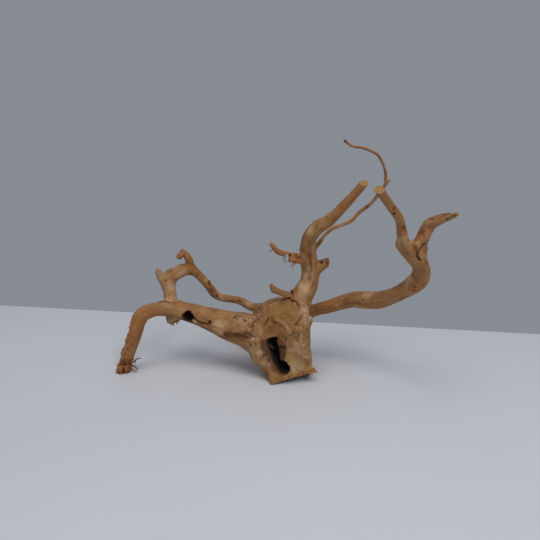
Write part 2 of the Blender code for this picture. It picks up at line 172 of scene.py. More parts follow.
# The pocket's mouth in the block's front: its outline in x and z, the front's y, and how deep it is.
POCKET_MOUTH = [
    (-5.5, 47.2), (-3.2, 49.8), (1.9, 50.6), (6.9, 51), (8.2, 49.2), (11.8, 45.5), (14, 42.7),
    (17.2, 39.6), (16.8, 37.5), (15.4, 35.8), (15.7, 32.4), (15, 26.8), (14, 25.6),
    (17.1, 22.4), (19.4, 18.4), (19.7, 14.4), (18.1, 11.6), (13.4, 11.2), (9.6, 13.8), (6.2, 18.6),
    (1.8, 27.6), (-0.8, 35.4), (-2.8, 39.9), (-4.4, 43.7),
]
POCKET_FRONT_Y = -38.0
LIMB_HOLE_FRONT_Y = -16.5
HOLE_REACHES = [(6, -32, 33, 32), (-80, -18, 64, 22)]
# How far behind each hole's front the painted shade begins, and where it turns black, in millimetres.
HOLE_DIM = 0.6
HOLE_BLACK = 4.6
MOUTH_FRONT_Y = -43.0
MOUTH_BACK_Y = -33.5
MOUTH_HEART = (7.5, 33.0)
MOUTH_TAPER = 0.16

# Saw cuts: a point on each face, the way it faces, and how far from the point it may reach.
SAW_CUTS = {
    "base": ((0, 0, 0), (0, 0, -1), 400),
    "chipped_corner": ((0, -39, 0), (325, -598, -966), 60),
    "crown_end": ((83.5, -33, 197.5), (0.1, -0.6, 0.8), 16),
    "right_end": ((80, -101, 196.5), (-0.25, -0.75, 0.6), 13),
    "stub_end": ((0.6, -27.5, 98.8), (-0.93, -0.3, -0.2), 9),
    "knob_end": ((61.3, 11, 114.6), (0.95, -0.25, 0.1), 9),
    "back_stub_end": ((21.5, 28, 43), (0.1, 1, 0.15), 14),
    "torn_end": ((18.5, -7.5, 121), (-1, -0.3, 0.25), 6),
}
# Those that are broken and ragged, not sawn clean.
BROKEN_ENDS = ("chipped_corner", "knob_end", "torn_end")

# Thin twigs that are pieces of their own, let into the limb that each grows from.
WHIP = {
    "whip": [
        (38, 5.5, 121, 3.0), (41, 5.5, 125, 3.2), (49.3, 8, 133.8, 2.1), (57.4, 10, 144.6, 1.8),
        (65.2, 11.5, 150, 1.6), (75.2, 12, 154, 1.7), (83.2, 12, 157.7, 1.8), (90, 12, 165.5, 1.9),
        (101, 10, 175, 1.7), (108, 8, 185, 1.7), (113, 6, 194, 1.5), (112, 3.5, 205, 1.4),
        (109, 1, 212.5, 1.4), (105.5, -1, 217.5, 1.3), (101.5, -3, 222, 1.4), (87, -7, 228, 1.3),
        (75, -11, 230, 1.2), (67.6, -13.2, 234.6, 1.2),
    ],
    "whip_fork": [(110, 7, 188, 1.3), (112.5, 6.2, 192, 1.3), (115.5, 6, 196, 1), (118, 6, 199, 0.6)],
    "whip_strand": [
        (52, 8.6, 139, 1.2), (60, 9.2, 147.5, 1.3), (69, 10.4, 151.5, 1.2), (78, 11, 154.5, 1.0),
    ],
    "whip_upper_strand": [
        (112, 4, 199, 0.9), (111, 2, 206, 1.0), (109, 0.6, 212, 1.0), (106, -1.2, 216.6, 0.9),
    ],
}
ROOTLETS = {
    "rootlet_upper": [
        (-149, -9.5, 11, 1), (-143.5, -11.5, 11.5, 0.8), (-140, -12.5, 15.5, 0.7),
        (-135.5, -13.5, 16.5, 0.5),
    ],
    "rootlet_lower": [(-150, -11, 8, 1), (-143.5, -13.5, 7.5, 0.8), (-139, -15, 4.5, 0.5)],
    "rootlet_loop": [
        (-149, -13, 8, 0.7), (-145.5, -15, 5, 0.55), (-142.5, -15.5, 2.6, 0.45), (-140, -15, 3.2, 0.35),
    ],
    "rootlet_short": [(-149, -12, 13, 0.6), (-146, -14, 12, 0.4), (-144.5, -15, 9.5, 0.3)],
    "rootlet_back": [(-152, -5, 10, 0.8), (-149, -1, 9, 0.6), (-147, 1, 5, 0.4), (-148, 2, 1, 0.3)],
    "rootlet_toe": [(-158, -14, 6, 0.8), (-161, -16, 3.5, 0.6), (-162, -17, 0.8, 0.4)],
}
HAIRS = {
    "hair_long": [(14, -8.5, 127, 0.6), (13.5, -9, 123, 0.4), (14.2, -9.5, 119.5, 0.3), (13.2, -10, 116.5, 0.22)],
    "hair_curl": [(16, -7.5, 125.5, 0.5), (15.4, -8.5, 121.5, 0.35), (16.6, -9, 118.8, 0.25)],
    "hair_tip": [(3.5, -12, 134, 0.6), (0.5, -12.5, 131.5, 0.4), (-1.2, -12.8, 130.6, 0.25)],
    "hair_low": [(24, -7, 117.5, 0.6), (22.5, -8.5, 114.5, 0.4), (23, -9, 112, 0.25)],
    "hair_lower": [(21.5, -7.5, 117.5, 0.5), (20.2, -8.6, 115, 0.3), (19.6, -9, 113.5, 0.2)],
    "hair_pit": [(30, -5, 131, 0.5), (27.5, -8, 131.5, 0.35), (25.8, -9, 130.4, 0.25)],
}
# Torn fibres and splinters: where each starts and ends, and how thick it starts.
SPLINTERS = {
    "torn_fibres": [
        ((29, -4.5, 122.5), (19.5, -9, 122.6), 1.7), ((28, -5, 119.6), (19, -9, 118.6), 1.6),
        ((27, -5.5, 121), (16.6, -9.6, 120.6), 1.3), ((31, -5, 125.5), (25, -9, 124.2), 1.6),
        ((28, -2, 120.5), (20.5, -4, 120.4), 1.4), ((32, -5, 127.5), (28.6, -8.6, 128.6), 1.2),
        ((27, -6, 119), (22.6, -9.6, 116.6), 1.1),
    ],
    "knob_fibres": [
        ((57, 8, 110.8), (61, 8, 109.6), 1.4), ((57.5, 12.5, 117), (61.6, 13.4, 118), 1.2),
    ],
    "tine_splinters": [
        ((152, -56.5, 171.4), (160.8, -53.5, 173.2), 1.7), ((152, -57, 170.6), (161.4, -53.6, 172), 1.4),
        ((150, -59, 171.6), (156, -58, 173.2), 1.4), ((147, -61, 171.2), (151, -61.5, 173), 1.3),
        ((148, -58, 168.8), (153, -57.5, 168.8), 1.2), ((153, -55, 171.4), (158, -51.8, 172.6), 1.3),
        ((129, -66.5, 166.6), (132.4, -66.4, 170.6), 1.3), ((133, -65, 168), (137, -65.4, 171.2), 1.3),
    ],
    "flap_splinters": [
        ((127.8, -68, 142), (129.4, -67.5, 150.6), 1.5), ((128.6, -66, 141), (130, -65.6, 147), 1.2),
        ((124, -73, 150), (128.4, -71, 153.2), 1.2), ((118, -80.2, 150), (120.4, -79.4, 145), 1.2),
    ],
    "prop_fibres": [
        ((-104, -3, 54.5), (-104.8, -3.4, 49.6), 1.7), ((-101, -4.5, 54), (-101.3, -5, 49), 1.9),
        ((-98.5, -3.5, 54.5), (-97.8, -4, 50.2), 1.6), ((-96.5, -1, 55), (-95.6, -1.3, 51.6), 1.3),
        ((-101, 2.5, 53.5), (-101.4, 3.2, 49.4), 1.6), ((-106, 0, 56.5), (-107.1, -0.3, 52.4), 1.3),
        ((-118, 8.6, 104.5), (-118.3, 8, 108.4), 1.6), ((-116.4, 9.5, 104.5), (-115.8, 9.6, 107.6), 1.4),
    ],
    "scar_splinters": [
        ((-115, -8.5, 75.8), (-106, -8.8, 78.4), 1.2), ((-101, -8.4, 75.8), (-108, -8.7, 77.6), 1.1),
        ((-67.4, 28.6, 87), (-65, 27, 90.2), 1.3), ((-108.5, 2.5, 75), (-110.6, 1.8, 80), 1.0),
    ],
    "base_splinters": [
        ((41.5, -33.5, 13), (47.4, -35.4, 12.2), 1.8), ((38, -35, 12.5), (43.5, -36.6, 10.4), 1.3),
        ((28, -36.6, 12), (31.5, -38.2, 9.8), 1.2), ((12, -38.4, 9.5), (9, -40, 6.4), 1.2),
        ((18, -38.2, 10.5), (21.6, -39.4, 8.3), 1.1), ((43.5, -30, 14), (46.6, -30.6, 11.6), 1.3),
    ],
    "foot_toes": [
        ((-158, -15, 9), (-160.5, -17.2, 1.2), 2.2), ((-155, -16, 9), (-156, -18.6, 1.2), 2.2),
        ((-151.5, -16, 9), (-151.2, -17.8, 1.2), 2.1), ((-150, -13, 9), (-147.4, -14, 1.2), 2.0),
        ((-160, -11, 8), (-163.3, -11.6, 1.2), 2.2), ((-158, -6, 8), (-160.4, -4.4, 1.2), 2.2),
        ((-153, -5, 8), (-152, -3, 1.2), 2.1),
    ],
}
# Strips of old bark that stand off the wood: their stations, wider than they are thick.
BARK_STRIPS = {
    "bark_strip_upper": [
        (-144.9, -10.6, 47, 0.8), (-146.8, -11, 42.5, 1.4), (-148.3, -11.2, 38.5, 1.6),
        (-149.2, -11.2, 35, 1.5), (-149.7, -11.2, 33.6, 0.8),
    ],
    "bark_strip_lower": [
        (-149.4, -11.6, 31.5, 0.7), (-150.9, -12, 28.5, 1.3), (-152.3, -12.2, 25, 1.6),
        (-153.6, -12.2, 22, 1.4), (-154.5, -12, 19.5, 0.7),
    ],
    "bark_strip_back": [
        (-138.5, -0.8, 46, 0.8), (-140.5, -0.6, 41, 1.5), (-142.6, -0.8, 36, 1.4), (-144.2, -1.4, 32, 0.7),
    ],
}
# What shows inside the rotten pocket and at the rim of the limb's hole.
LEDGE = [
    (13, -32.5, 42.4, 2), (12.6, -31.6, 39.4, 4.2), (12.7, -31.8, 35, 4), (12.6, -32.4, 30.7, 3.1),
    (12.4, -33, 27, 2.6), (12.2, -33.4, 24.6, 1.4),
]
PINK_CHIP = [
    (7, -36.2, 48.2, 1.0), (8.6, -36.6, 46.4, 1.9), (10.8, -36.8, 44.6, 2.1), (13.2, -36.8, 43, 1.6),
    (15.4, -36.4, 41.6, 0.7),
]
RED_CHIP = [(7.4, -35.6, 44.6, 0.8), (9, -35.4, 42.4, 1.4), (10.6, -35.6, 41.4, 0.9)]
GREY_SLIVER = [
    (-3.6, -35, 45.4, 0.5), (-1.6, -35.2, 42.6, 1.0), (1, -34.8, 40.4, 1.3), (3.6, -34, 38.8, 1.0),
    (5.4, -33.2, 38, 0.4),
]
HOLE_CHIP = [(-73.6, -19.2, 59.8, 1.2), (-75.8, -20, 60.8, 1.3), (-77.6, -19.8, 62.4, 0.4)]
NUB = [(22, -12, 86, 1.8), (21.6, -13, 89.5, 1.3), (21, -13.4, 92.2, 0.7)]
STUB_HORN = [(2.5, -26.5, 98.5, 1.9), (2, -27.4, 101.5, 1.2), (2, -27.6, 103.4, 0.4)]


def drawn(places):
    """Places in the drawing, in millimetres, as places in the model's frame, in metres."""
    return (np.asarray(places, float) + DRAWING_SHIFT) * MM


def deselect_all():
    if bpy.context.object and bpy.context.object.mode != "OBJECT":
        bpy.ops.object.mode_set(mode="OBJECT")
    bpy.ops.object.select_all(action="DESELECT")


def make_active(obj):
    deselect_all()
    obj.select_set(True)
    bpy.context.view_layer.objects.active = obj


def smooth_path(stations, step):
    """Points of a soft curve through the stations, no more than step apart, each with its radius."""
    places = [Vector(station[:3]) for station in stations]
    path = []
    for number, (start, end) in enumerate(zip(places, places[1:])):
        before = places[number - 1] if number else 2 * start - end
        after = places[number + 2] if number + 2 < len(places) else 2 * end - start
        along = (end - start).normalized()
        reach = (end - start).length / 2.5614
        leave = ((start - before).normalized() + along).normalized() * reach
        arrive = ((after - end).normalized() + along).normalized() * reach
        count = max(2, math.ceil((end - start).length / step))
        for k in range(count):
            t = k / count
            u = 1 - t
            place = (
                u**3 * start + 3 * u * u * t * (start + leave)
                + 3 * u * t * t * (end - arrive) + t**3 * end
            )
            radius = stations[number][3] * u + stations[number + 1][3] * t
            path.append((place, radius))
    path.append((places[-1], stations[-1][3]))
    return path


def path_frames(path):
    """For each point of a path: its direction, and two sideways directions that don't twist."""
    places = [place for place, _ in path]
    ahead = [(b - a).normalized() for a, b in zip(places, places[1:])]
    directions = [ahead[0]]
    directions += [(a + b).normalized() for a, b in zip(ahead, ahead[1:])]
    directions.append(ahead[-1])
    side = directions[0].orthogonal().normalized()
    frames = []
    for direction in directions:
        side = (side - direction * side.dot(direction)).normalized()
        frames.append((direction, side, direction.cross(side)))
    return frames


def grow_limb(name, stations, sides=14, step=3.0):
    """A limb: a disc that is extruded from station to station, its rings then set round the path."""
    path = smooth_path(stations, step)
    frames = path_frames(path)
    deselect_all()
    bpy.ops.mesh.primitive_circle_add(
        vertices=sides, radius=path[0][1] * MM, fill_type="NGON", location=drawn(path[0][0])
    )
    limb = bpy.context.object
    limb.name = name
    bpy.ops.object.mode_set(mode="EDIT")
    for (before, _), (place, _) in zip(path, path[1:]):
        bpy.ops.mesh.extrude_region_move(TRANSFORM_OT_translate={"value": (place - before) * MM})
    bpy.ops.object.mode_set(mode="OBJECT")
    bpy.ops.object.transform_apply(location=True, rotation=True, scale=True)
    angles = np.arange(sides) / sides * 2 * math.pi
    rings = []
    for (place, radius), (_, side, up) in zip(path, frames):
        around = np.outer(np.cos(angles), side) + np.outer(np.sin(angles), up)
        rings.append(np.array(place) + radius * around)
    limb.data.vertices.foreach_set("co", drawn(np.concatenate(rings)).ravel())
    make_active(limb)
    bpy.ops.object.mode_set(mode="EDIT")
    bpy.ops.mesh.select_all(action="SELECT")
    bpy.ops.mesh.normals_make_consistent(inside=False)
    bpy.ops.object.mode_set(mode="OBJECT")
    return limb


def burl_lump(name, centre, half_sizes):
    deselect_all()
    bpy.ops.mesh.primitive_ico_sphere_add(
        subdivisions=5, radius=1.0, location=drawn(centre), scale=np.array(half_sizes) * MM
    )
    lump = bpy.context.object
    lump.name = name
    bpy.ops.object.transform_apply(location=True, rotation=True, scale=True)
    return lump


def block():
    """The sawn block: an eight-sided prism whose corners are pulled to its outlines."""
    deselect_all()
    bpy.ops.mesh.primitive_cylinder_add(vertices=len(BLOCK_FOOT), radius=0.03, depth=0.06)
    made = bpy.context.object
    made.name = "block"
    corners = [(x, y, BLOCK_FOOT_Z) for x, y in BLOCK_FOOT] + [(x, y, BLOCK_TOP_Z) for x, y in BLOCK_TOP]
    made.data.vertices.foreach_set("co", drawn(corners).ravel())
    make_active(made)
    bpy.ops.object.mode_set(mode="EDIT")
    bpy.ops.mesh.select_all(action="SELECT")
    bpy.ops.mesh.convex_hull()
    bpy.ops.mesh.normals_make_consistent(inside=False)
    bpy.ops.object.mode_set(mode="OBJECT")
    return made


def deselect_faces(mesh):
    mesh.vertices.foreach_set("select", np.zeros(len(mesh.vertices), bool))
    mesh.edges.foreach_set("select", np.zeros(len(mesh.edges), bool))
    mesh.polygons.foreach_set("select", np.zeros(len(mesh.polygons), bool))


def join(pieces, name):
    make_active(pieces[0])
    for piece in pieces:
        piece.select_set(True)
    bpy.ops.object.join()
    joined = bpy.context.object
    joined.name = joined.data.name = name
    return joined


def one_skin(obj, voxel):
    """Merges all that an object is made of into one even skin."""
    make_active(obj)
    remesh = obj.modifiers.new("one_skin", "REMESH")
    remesh.mode = "VOXEL"
    remesh.voxel_size = voxel * MM
    bpy.ops.object.modifier_apply(modifier=remesh.name)


def smooth_skin(obj, rounds, group=None):
    make_active(obj)
    smooth = obj.modifiers.new("smooth", "SMOOTH")
    smooth.factor = 0.5
    smooth.iterations = rounds
    if group:
        smooth.vertex_group = group
    bpy.ops.object.modifier_apply(modifier=smooth.name)


def places_of(mesh):
    """The mesh's vertices in the drawing's millimetres."""
    places = np.empty(len(mesh.vertices) * 3)
    mesh.vertices.foreach_get("co", places)
    return places.reshape(-1, 3) / MM - DRAWING_SHIFT


def put_places(mesh, places):
    mesh.vertices.foreach_set("co", drawn(places).ravel())
    mesh.update()


def normals_of(mesh):
    normals = np.empty(len(mesh.vertices) * 3, np.float32)
    mesh.vertex_normals.foreach_get("vector", normals)
    return normals.reshape(-1, 3).astype(float)


LATTICE = np.random.default_rng(7).random((64, 64, 64)).astype(np.float32)


def at_lattice(x, y, z, seed):
    """A fixed number from 0 to 1 for each whole-numbered cell."""
    return LATTICE[(x + 17 * seed) & 63, (y + 29 * seed) & 63, (z + 41 * seed) & 63]


def soft_noise(places, span, seed=0):
    """Smooth noise from -1 to 1, with lumps about span across."""
    scaled = (places / span).astype(np.float32) + 100.0
    cells = np.floor(scaled)
    part = scaled - cells
    cells = cells.astype(np.int32)
    fade = part * part * (3 - 2 * part)
    low = [cells[:, k] for k in range(3)]
    high_share = [fade[:, k] for k in range(3)]
    low_share = [1 - share for share in high_share]
    total = np.zeros(len(places), np.float32)
    for i, j, k in np.ndindex(2, 2, 2):
        share = (high_share if i else low_share)[0] * (high_share if j else low_share)[1]
        share = share * (high_share if k else low_share)[2]
        total += share * at_lattice(low[0] + i, low[1] + j, low[2] + k, seed)
    return total * 2 - 1


def layered_noise(places, span, seed=0, layers=3):
    total = np.zeros(len(places))
    for layer in range(layers):
        total += soft_noise(places, span / 2**layer, seed + layer) / 2**layer
    return total / 1.6


def crumbs(places, span, seed=0):
    """Rounded lumps about span across: 1 at the middle of each and 0 in the gaps between."""
    scaled = (places / span).astype(np.float32) + 100.0
    cells = np.floor(scaled).astype(np.int32)
    nearest = np.full(len(places), 9.0, np.float32)
    second = np.full(len(places), 9.0, np.float32)
    for i, j, k in np.ndindex(3, 3, 3):
        x, y, z = cells[:, 0] + i - 1, cells[:, 1] + j - 1, cells[:, 2] + k - 1
        away = (scaled[:, 0] - x - at_lattice(x, y, z, seed)) ** 2
        away += (scaled[:, 1] - y - at_lattice(x, y, z, seed + 1)) ** 2
        away += (scaled[:, 2] - z - at_lattice(x, y, z, seed + 2)) ** 2
        away = np.sqrt(away)
        second = np.minimum(second, np.maximum(nearest, away))
        nearest = np.minimum(nearest, away)
    return np.clip(second - nearest, 0, 1)


def streaks(places, directions, span, length, seed=0, samples=13):
    """Noise drawn out along the grain: thin lines that follow the limbs."""
    total = np.zeros(len(places))
    for t in np.linspace(-0.5, 0.5, samples):
        total += soft_noise(places + directions * (t * length), span, seed)
    return total / math.sqrt(samples)


def near_spots(places, spots, ragged=0.25, span=3.0):
    """How much each place belongs to a list of spots (x, y, z, radius): 1 inside, fading to 0."""
    wobble = 1.0 + ragged * soft_noise(places, span, 41)
    mask = np.zeros(len(places))
    for x, y, z, radius in spots:
        away = np.linalg.norm(places - (x, y, z), axis=1) * wobble / radius
        mask = np.maximum(mask, np.clip(1.6 * (1.0 - away), 0, 1))
    return mask


def near_line(places, points, width):
    """1 on a line through the points, fading to 0 at width from it."""
    nearest = np.full(len(places), 1e9)
    for start, end in zip(points, points[1:]):
        start, end = np.array(start, float), np.array(end, float)
        run = end - start
        share = np.clip((places - start) @ run / (run @ run), 0, 1)
        nearest = np.minimum(nearest, np.linalg.norm(places - start - np.outer(share, run), axis=1))
    return np.clip(1.0 - nearest / width, 0, 1)


def smooth_step(values, low, high):
    t = np.clip((values - low) / (high - low), 0, 1)
    return t * t * (3 - 2 * t)


# Where the burl's front shows its ochre gouged scar, and the crumbly callus that rings it.
SCAR = [
    (2, -33, 57, 9), (15, -28, 72, 10), (25, -21, 75, 7), (25, -29, 67, 5.5), (-3, -31, 64, 6),
    (7, -32, 65, 10), (10, -35, 52, 7), (1, -26, 72, 7), (20, -31, 68, 8), (14, -20, 78, 7),
]
SCAR_BROWN = [
    (0, -33, 57, 9), (8, -35, 55, 8), (-5, -32, 57, 7), (3, -31.5, 63, 5.5), (-4, -22, 72, 6), (14, -36, 52, 5),
]
# The pale lip between the scar's upper dome and the brown hollow under it.
SCAR_LIP = [(5.5, -31, 66.6), (9, -32, 66), (13, -33.5, 63.6), (17, -35.4, 60.4), (18.6, -36.6, 56)]
CALLUS = [
    (-18, -22, 65, 7), (-12, -19, 68, 6), (-18, -29, 61, 6), (-18.5, -34, 56, 5), (-18, -34, 49, 6),
    (-14, -37, 43, 5), (-23, -25, 63, 6), (-29, -20, 65.5, 6), (-35, -21, 65, 5), (-26, -9, 65, 7),
    (-10, -16, 70, 6), (-6, -16, 74, 5), (-20, -35, 42, 5), (33, -22, 73.5, 5), (38, -19, 70, 6),
    (35, -25, 64, 6), (41, -19, 62, 6), (40, -25, 58, 6), (26, -34, 63, 4), (29, -38, 54, 5),
    (42, -21, 50, 6), (42, -24, 45, 6), (37, -31, 52, 5), (32, -34, 61, 5), (36, -24, 68, 6),
    (0, -18, 78, 5), (4, -16, 81, 5), (8, -12, 81, 5), (13, -13, 82, 5), (17, -14, 82, 5),
    (22, -14, 80, 5), (27, -17, 77, 4), (-12, 8, 66, 8), (12, 18, 62, 8), (40, 6, 60, 6),
    (-22, 2, 60, 6), (24, 20, 56, 6),
]
CALLUS_CREAM = [
    (-17.5, -22, 65, 5), (-19, -34, 56, 5), (-18, -34, 49, 5), (33, -22, 73, 5), (38, -19, 70, 7),
    (35, -25, 64, 7), (41, -19, 62, 6), (30, -36, 53, 4), (-12, -19, 67, 4), (36, -24, 68, 8),
    (33, -24, 72, 7), (38, -18, 74, 7), (34, -31, 60, 5), (41, -24, 66, 7), (-30, -21, 65, 4), (-23, -25, 63, 4),
]
# Where its lumps are broad and pressed together, with hardly a gap.
CALLUS_SMOOTH = [(35, -24, 69, 8), (40, -20, 65, 7), (37, -25, 62, 7), (36, -18, 76, 7)]
# Dark dry cracks: the points that each runs through, its width and its depth.
CRACKS = [
    ([(22.4, -14.2, 81), (25.6, -15.3, 79.7), (28.5, -17.1, 77.6)], 1.5, 1.8),
    ([(14, -12.9, 82.2), (16.5, -15.8, 83.4), (19.5, -15.6, 83)], 1.4, 1.6),
    ([(-1.4, -28.6, 69.1), (-3.1, -29.6, 65), (-5.5, -31.6, 60.3)], 1.3, 1.4),
    ([(-12.1, -22.6, 64.7), (-15.5, -25.5, 62.8), (-16.5, -30.2, 60), (-16.7, -33.5, 57.1)], 1.5, 1.7),
    ([(8.4, -27.4, 73.9), (10.8, -28, 72.2), (12.9, -28.3, 71)], 1.0, 0.8),
    ([(14.6, -34.8, 59.3), (15, -35.6, 56.5), (15.2, -36.2, 52.1), (15.8, -35.7, 46.8)], 1.3, 1.3),
    ([(29.5, -28.1, 66.5), (27.9, -30.3, 65.4), (25.3, -33.5, 64), (24.6, -35.8, 61.3)], 1.2, 1.2),
    ([(34.1, -36.5, 47.6), (32.6, -37.2, 45.7), (31.1, -36.9, 43.6)], 1.2, 1.3),
    ([(30.4, -37.7, 56.9), (29.4, -37.5, 53.2)], 1.0, 0.9),
    ([(23.8, -36.5, 60), (22.4, -36.6, 55.2)], 1.0, 0.9),
    ([(-9.6, -36.2, 35.6), (-6.6, -35.2, 30.9)], 1.1, 0.6),
    ([(21.4, -31.2, 68.8), (18.4, -33.6, 65.6), (17.9, -35, 62.6)], 1.1, 0.8),
    ([(129.2, -71, 154.6), (127.6, -73, 151.6), (123.7, -75.9, 148.2), (119.7, -80.6, 146.1),
      (118.7, -81.2, 144.2), (120.2, -80.6, 140.9), (122.4, -79.7, 138)], 1.5, 2.0),
    ([(121.5, -78.6, 143), (123.4, -77.8, 141), (126.5, -76.3, 137.5), (130, -74.4, 133.6)], 1.5, 1.3),
    ([(16, 14, 60), (18, 19, 52), (19, 21, 46)], 1.3, 1.4),
    ([(-118, -14, 73), (-108, -15, 73.5), (-99, -16.5, 72)], 0.9, 0.5),
    ([(-70, -20.5, 69), (-58, -22.5, 67), (-44, -26.5, 62)], 0.9, 0.45),
    ([(-74, -20.6, 61.4), (-71, -21.4, 60.4), (-67.3, -22.2, 59.6), (-62.6, -23.4, 58.8), (-60.4, -24.2, 60.8)], 2.2, 0.9),
]
# The slope that leads down into the rotten pocket on its left, coloured as the holes' walls are.
POCKET_SLOPE = [(-6, -37, 45), (-3.6, -37.6, 38), (-0.6, -38, 30), (4, -38.6, 21.4), (8, -39, 15)]
# Shallow furrows that run along the limbs, and the narrow one that leads from the limb's hole.
FURROWS = [
    (POCKET_SLOPE, 5.0, 1.8),
    ([(-73, -19.6, 61), (-71, -19.8, 60.9), (-67.3, -20.7, 59.8), (-63.6, -21.5, 59)], 1.7, 1.3),
    ([(-63.6, -21.5, 59), (-61.6, -22.2, 58.6), (-60.3, -23.2, 60.6)], 1.7, 1.3),
    ([(-43.7, -27.9, 49.9), (-36.6, -29.5, 50.1), (-29.6, -30.7, 50.7), (-20.6, -33.7, 50.9)], 5.0, 1.3),
    ([(-151, -17, 16), (-150, -16.5, 8), (-151, -17, 0)], 1.8, 1.4),
    ([(-155.5, -18, 14), (-155.2, -18.5, 7), (-156, -19, 0)], 1.6, 1.5),
    ([(-147.5, -13.5, 14), (-147, -14, 6), (-148, -14, 0)], 1.6, 1.3),
    ([(-158.5, -16, 12), (-160, -16, 5), (-161, -16, 0)], 1.5, 1.2),
    ([(-152, -3.5, 18), (-154, -3, 8), (-155, -3, 0)], 1.8, 1.4),
    ([(40, -4, 100), (42, -3.5, 112), (41, -4, 124)], 4.0, 0.8),
    ([(124, -64, 100), (127.5, -70, 112), (127, -76, 126)], 4.0, 0.7),
    ([(12, -38, 12), (8, -38, 24), (0, -37, 36)], 5.0, 0.8),
]
# Ridges and raised strips, as furrows are, with a height.
RIDGES = [
    ([(85, -19.8, 76.5), (90.6, -24, 77), (97, -29, 78), (103, -33.5, 79.5), (108.5, -37.5, 81.5),
      (113.5, -41, 84)], 3.0, 1.7),
    ([(-36, -24, 62), (-26, -27, 61), (-20, -30, 58)], 3.5, 0.9),
    ([(26, -29, 72), (31, -31, 62), (29, -37, 52), (31, -37, 40)], 4.0, 1.0),
    ([(15.5, -30, 74), (22, -29, 71), (26, -30, 66)], 3.0, 0.9),
    (SCAR_LIP, 3.0, 1.9),
    ([(47, -8, 161), (52, -11, 165), (55, -13, 166)], 3.0, 0.8),
    ([(-110, -2, 78), (-103, -4, 79), (-96, -5, 78)], 3.0, 0.8),
]
# Knots and bruises where twigs broke off: place, radius, height (below zero for a pit), redness.
KNOTS = [
    (-66.8, 28.3, 85.5, 2.4, 0.9, 0.7), (-59, 28.9, 70.8, 2.2, -0.8, 0.65), (-33.8, 25.5, 65.8, 2.2, -0.8, 0.65),
    (-65.4, 27.8, 78.4, 4.0, 0.0, 0.5), (-41.2, 27.3, 66.9, 3.0, 0.0, 0.35), (-109, 7.2, 95.6, 1.5, -0.9, 0.7),
    (-117.7, 7.5, 99.7, 2.6, 0.0, 0.35), (-93.7, 18.6, 124.8, 1.5, -0.7, 0.8), (-92, 19, 121, 2.6, 0.3, 0.4),
    (93.2, -95.9, 181.7, 2.4, -0.3, 0.5), (93.8, -93.7, 177.5, 1.6, -0.6, 0.9),
    (104.3, -88.3, 167, 3.0, 0.4, 0.6), (125.4, -66.2, 111.5, 1.6, -0.4, 0.7), (125.3, -68.3, 116.1, 1.3, -0.4, 0.6),
    (125.3, -64.1, 107.5, 1.6, -0.3, 0.7), (132, -65.1, 169.7, 2.0, -0.9, 1.0), (135.1, -66.2, 170.3, 1.7, -0.7, 0.9),
    (124.6, -70.5, 160, 3, -0.3, 0.35), (126, -71.5, 156.6, 2.4, -0.3, 0.4), (151, -59.1, 173, 2.0, -1.0, 0.9), (146.3, -60.9, 173.1, 1.4, -0.6, 0.8),
    (148.1, -62, 169.1, 1.2, -0.8, 1.0), (118.4, -81.1, 148.6, 3.4, -0.5, 0.55), (116.6, -81.8, 151, 3, -0.3, 0.45), (122.4, -79.4, 148.6, 2.2, 0.5, 0.2),
    (119.6, -80.6, 145.4, 2, -0.4, 0.7),
    (27, -4.8, 125.6, 1.9, -1.1, 0.9), (31.5, -1.5, 131.2, 1.7, -0.3, 0.5), (48, -12.2, 159.8, 2.4, 0.5, 0.3),
    (-32.4, -28, 58.7, 1.2, -0.9, 0.5), (-35.1, -19.8, 65.6, 1.3, -0.9, 0.5), (-25, -23.7, 63.5, 1.4, -1.0, 0.5),
    (-29.4, -19.3, 65.9, 1.2, -0.8, 0.5), (-19.3, -32.2, 59, 1.4, -1.0, 0.5), (-38.3, -17.2, 67, 1.1, -0.7, 0.4),
    (-42.1, -19.5, 66.3, 1.1, -0.6, 0.4), (90.7, -25.9, 85.9, 1.8, -0.4, 0.5), (53.7, 6.2, 115.7, 2.4, -0.4, 0.8),
    (59, 8, 114, 2.6, -0.8, 0.8), (-60.3, -23.2, 61.2, 2.6, -0.9, 1.0), (46, 8, 100, 1.8, 0.5, 0.5),
    (84.3, -11, 89.6, 2.2, 1.1, 0.2), (19.5, -15, 83.8, 2.2, -0.5, 0.9), (61.3, 11, 114.6, 6.0, 0.0, 0.45),
    (70, 4, 74, 2.0, 0.6, 0.5), (-75, -2, 70, 1.8, -0.5, 0.6), (-132, 0, 60, 2.0, -0.5, 0.7),
]
# Old bark that still clings on: place and radius, raised with a sharp edge.
BARK = [
    (-151.5, -12, 36, 5), (-150, -14, 30, 3.5), (-155, -13, 24, 5), (-147, -12, 45, 3.5),
    (-148, -2, 33, 5), (-145, -14, 20, 3), (118, -30, 96, 4), (100, -13, 87, 4.5),
    (44, 12, 112, 4), (-110, 16, 86, 4), (6, 14, 45, 6), (36, 12, 40, 6), (-60, -2, 63, 5),
]
FOOT = [(-156, -12, 0, 14), (-153, -13, 9, 9)]
FRAYED = [
    (-104, -2, 49, 6), (-101, -4, 51, 5), (160, -53, 172, 5), (153, -57, 171.5, 4), (24, -6, 118.5, 5),
    (60, 11, 114, 5), (132, -67, 149, 4), (-117, 9, 106, 3), (-95.5, 17, 118, 3.5),
]

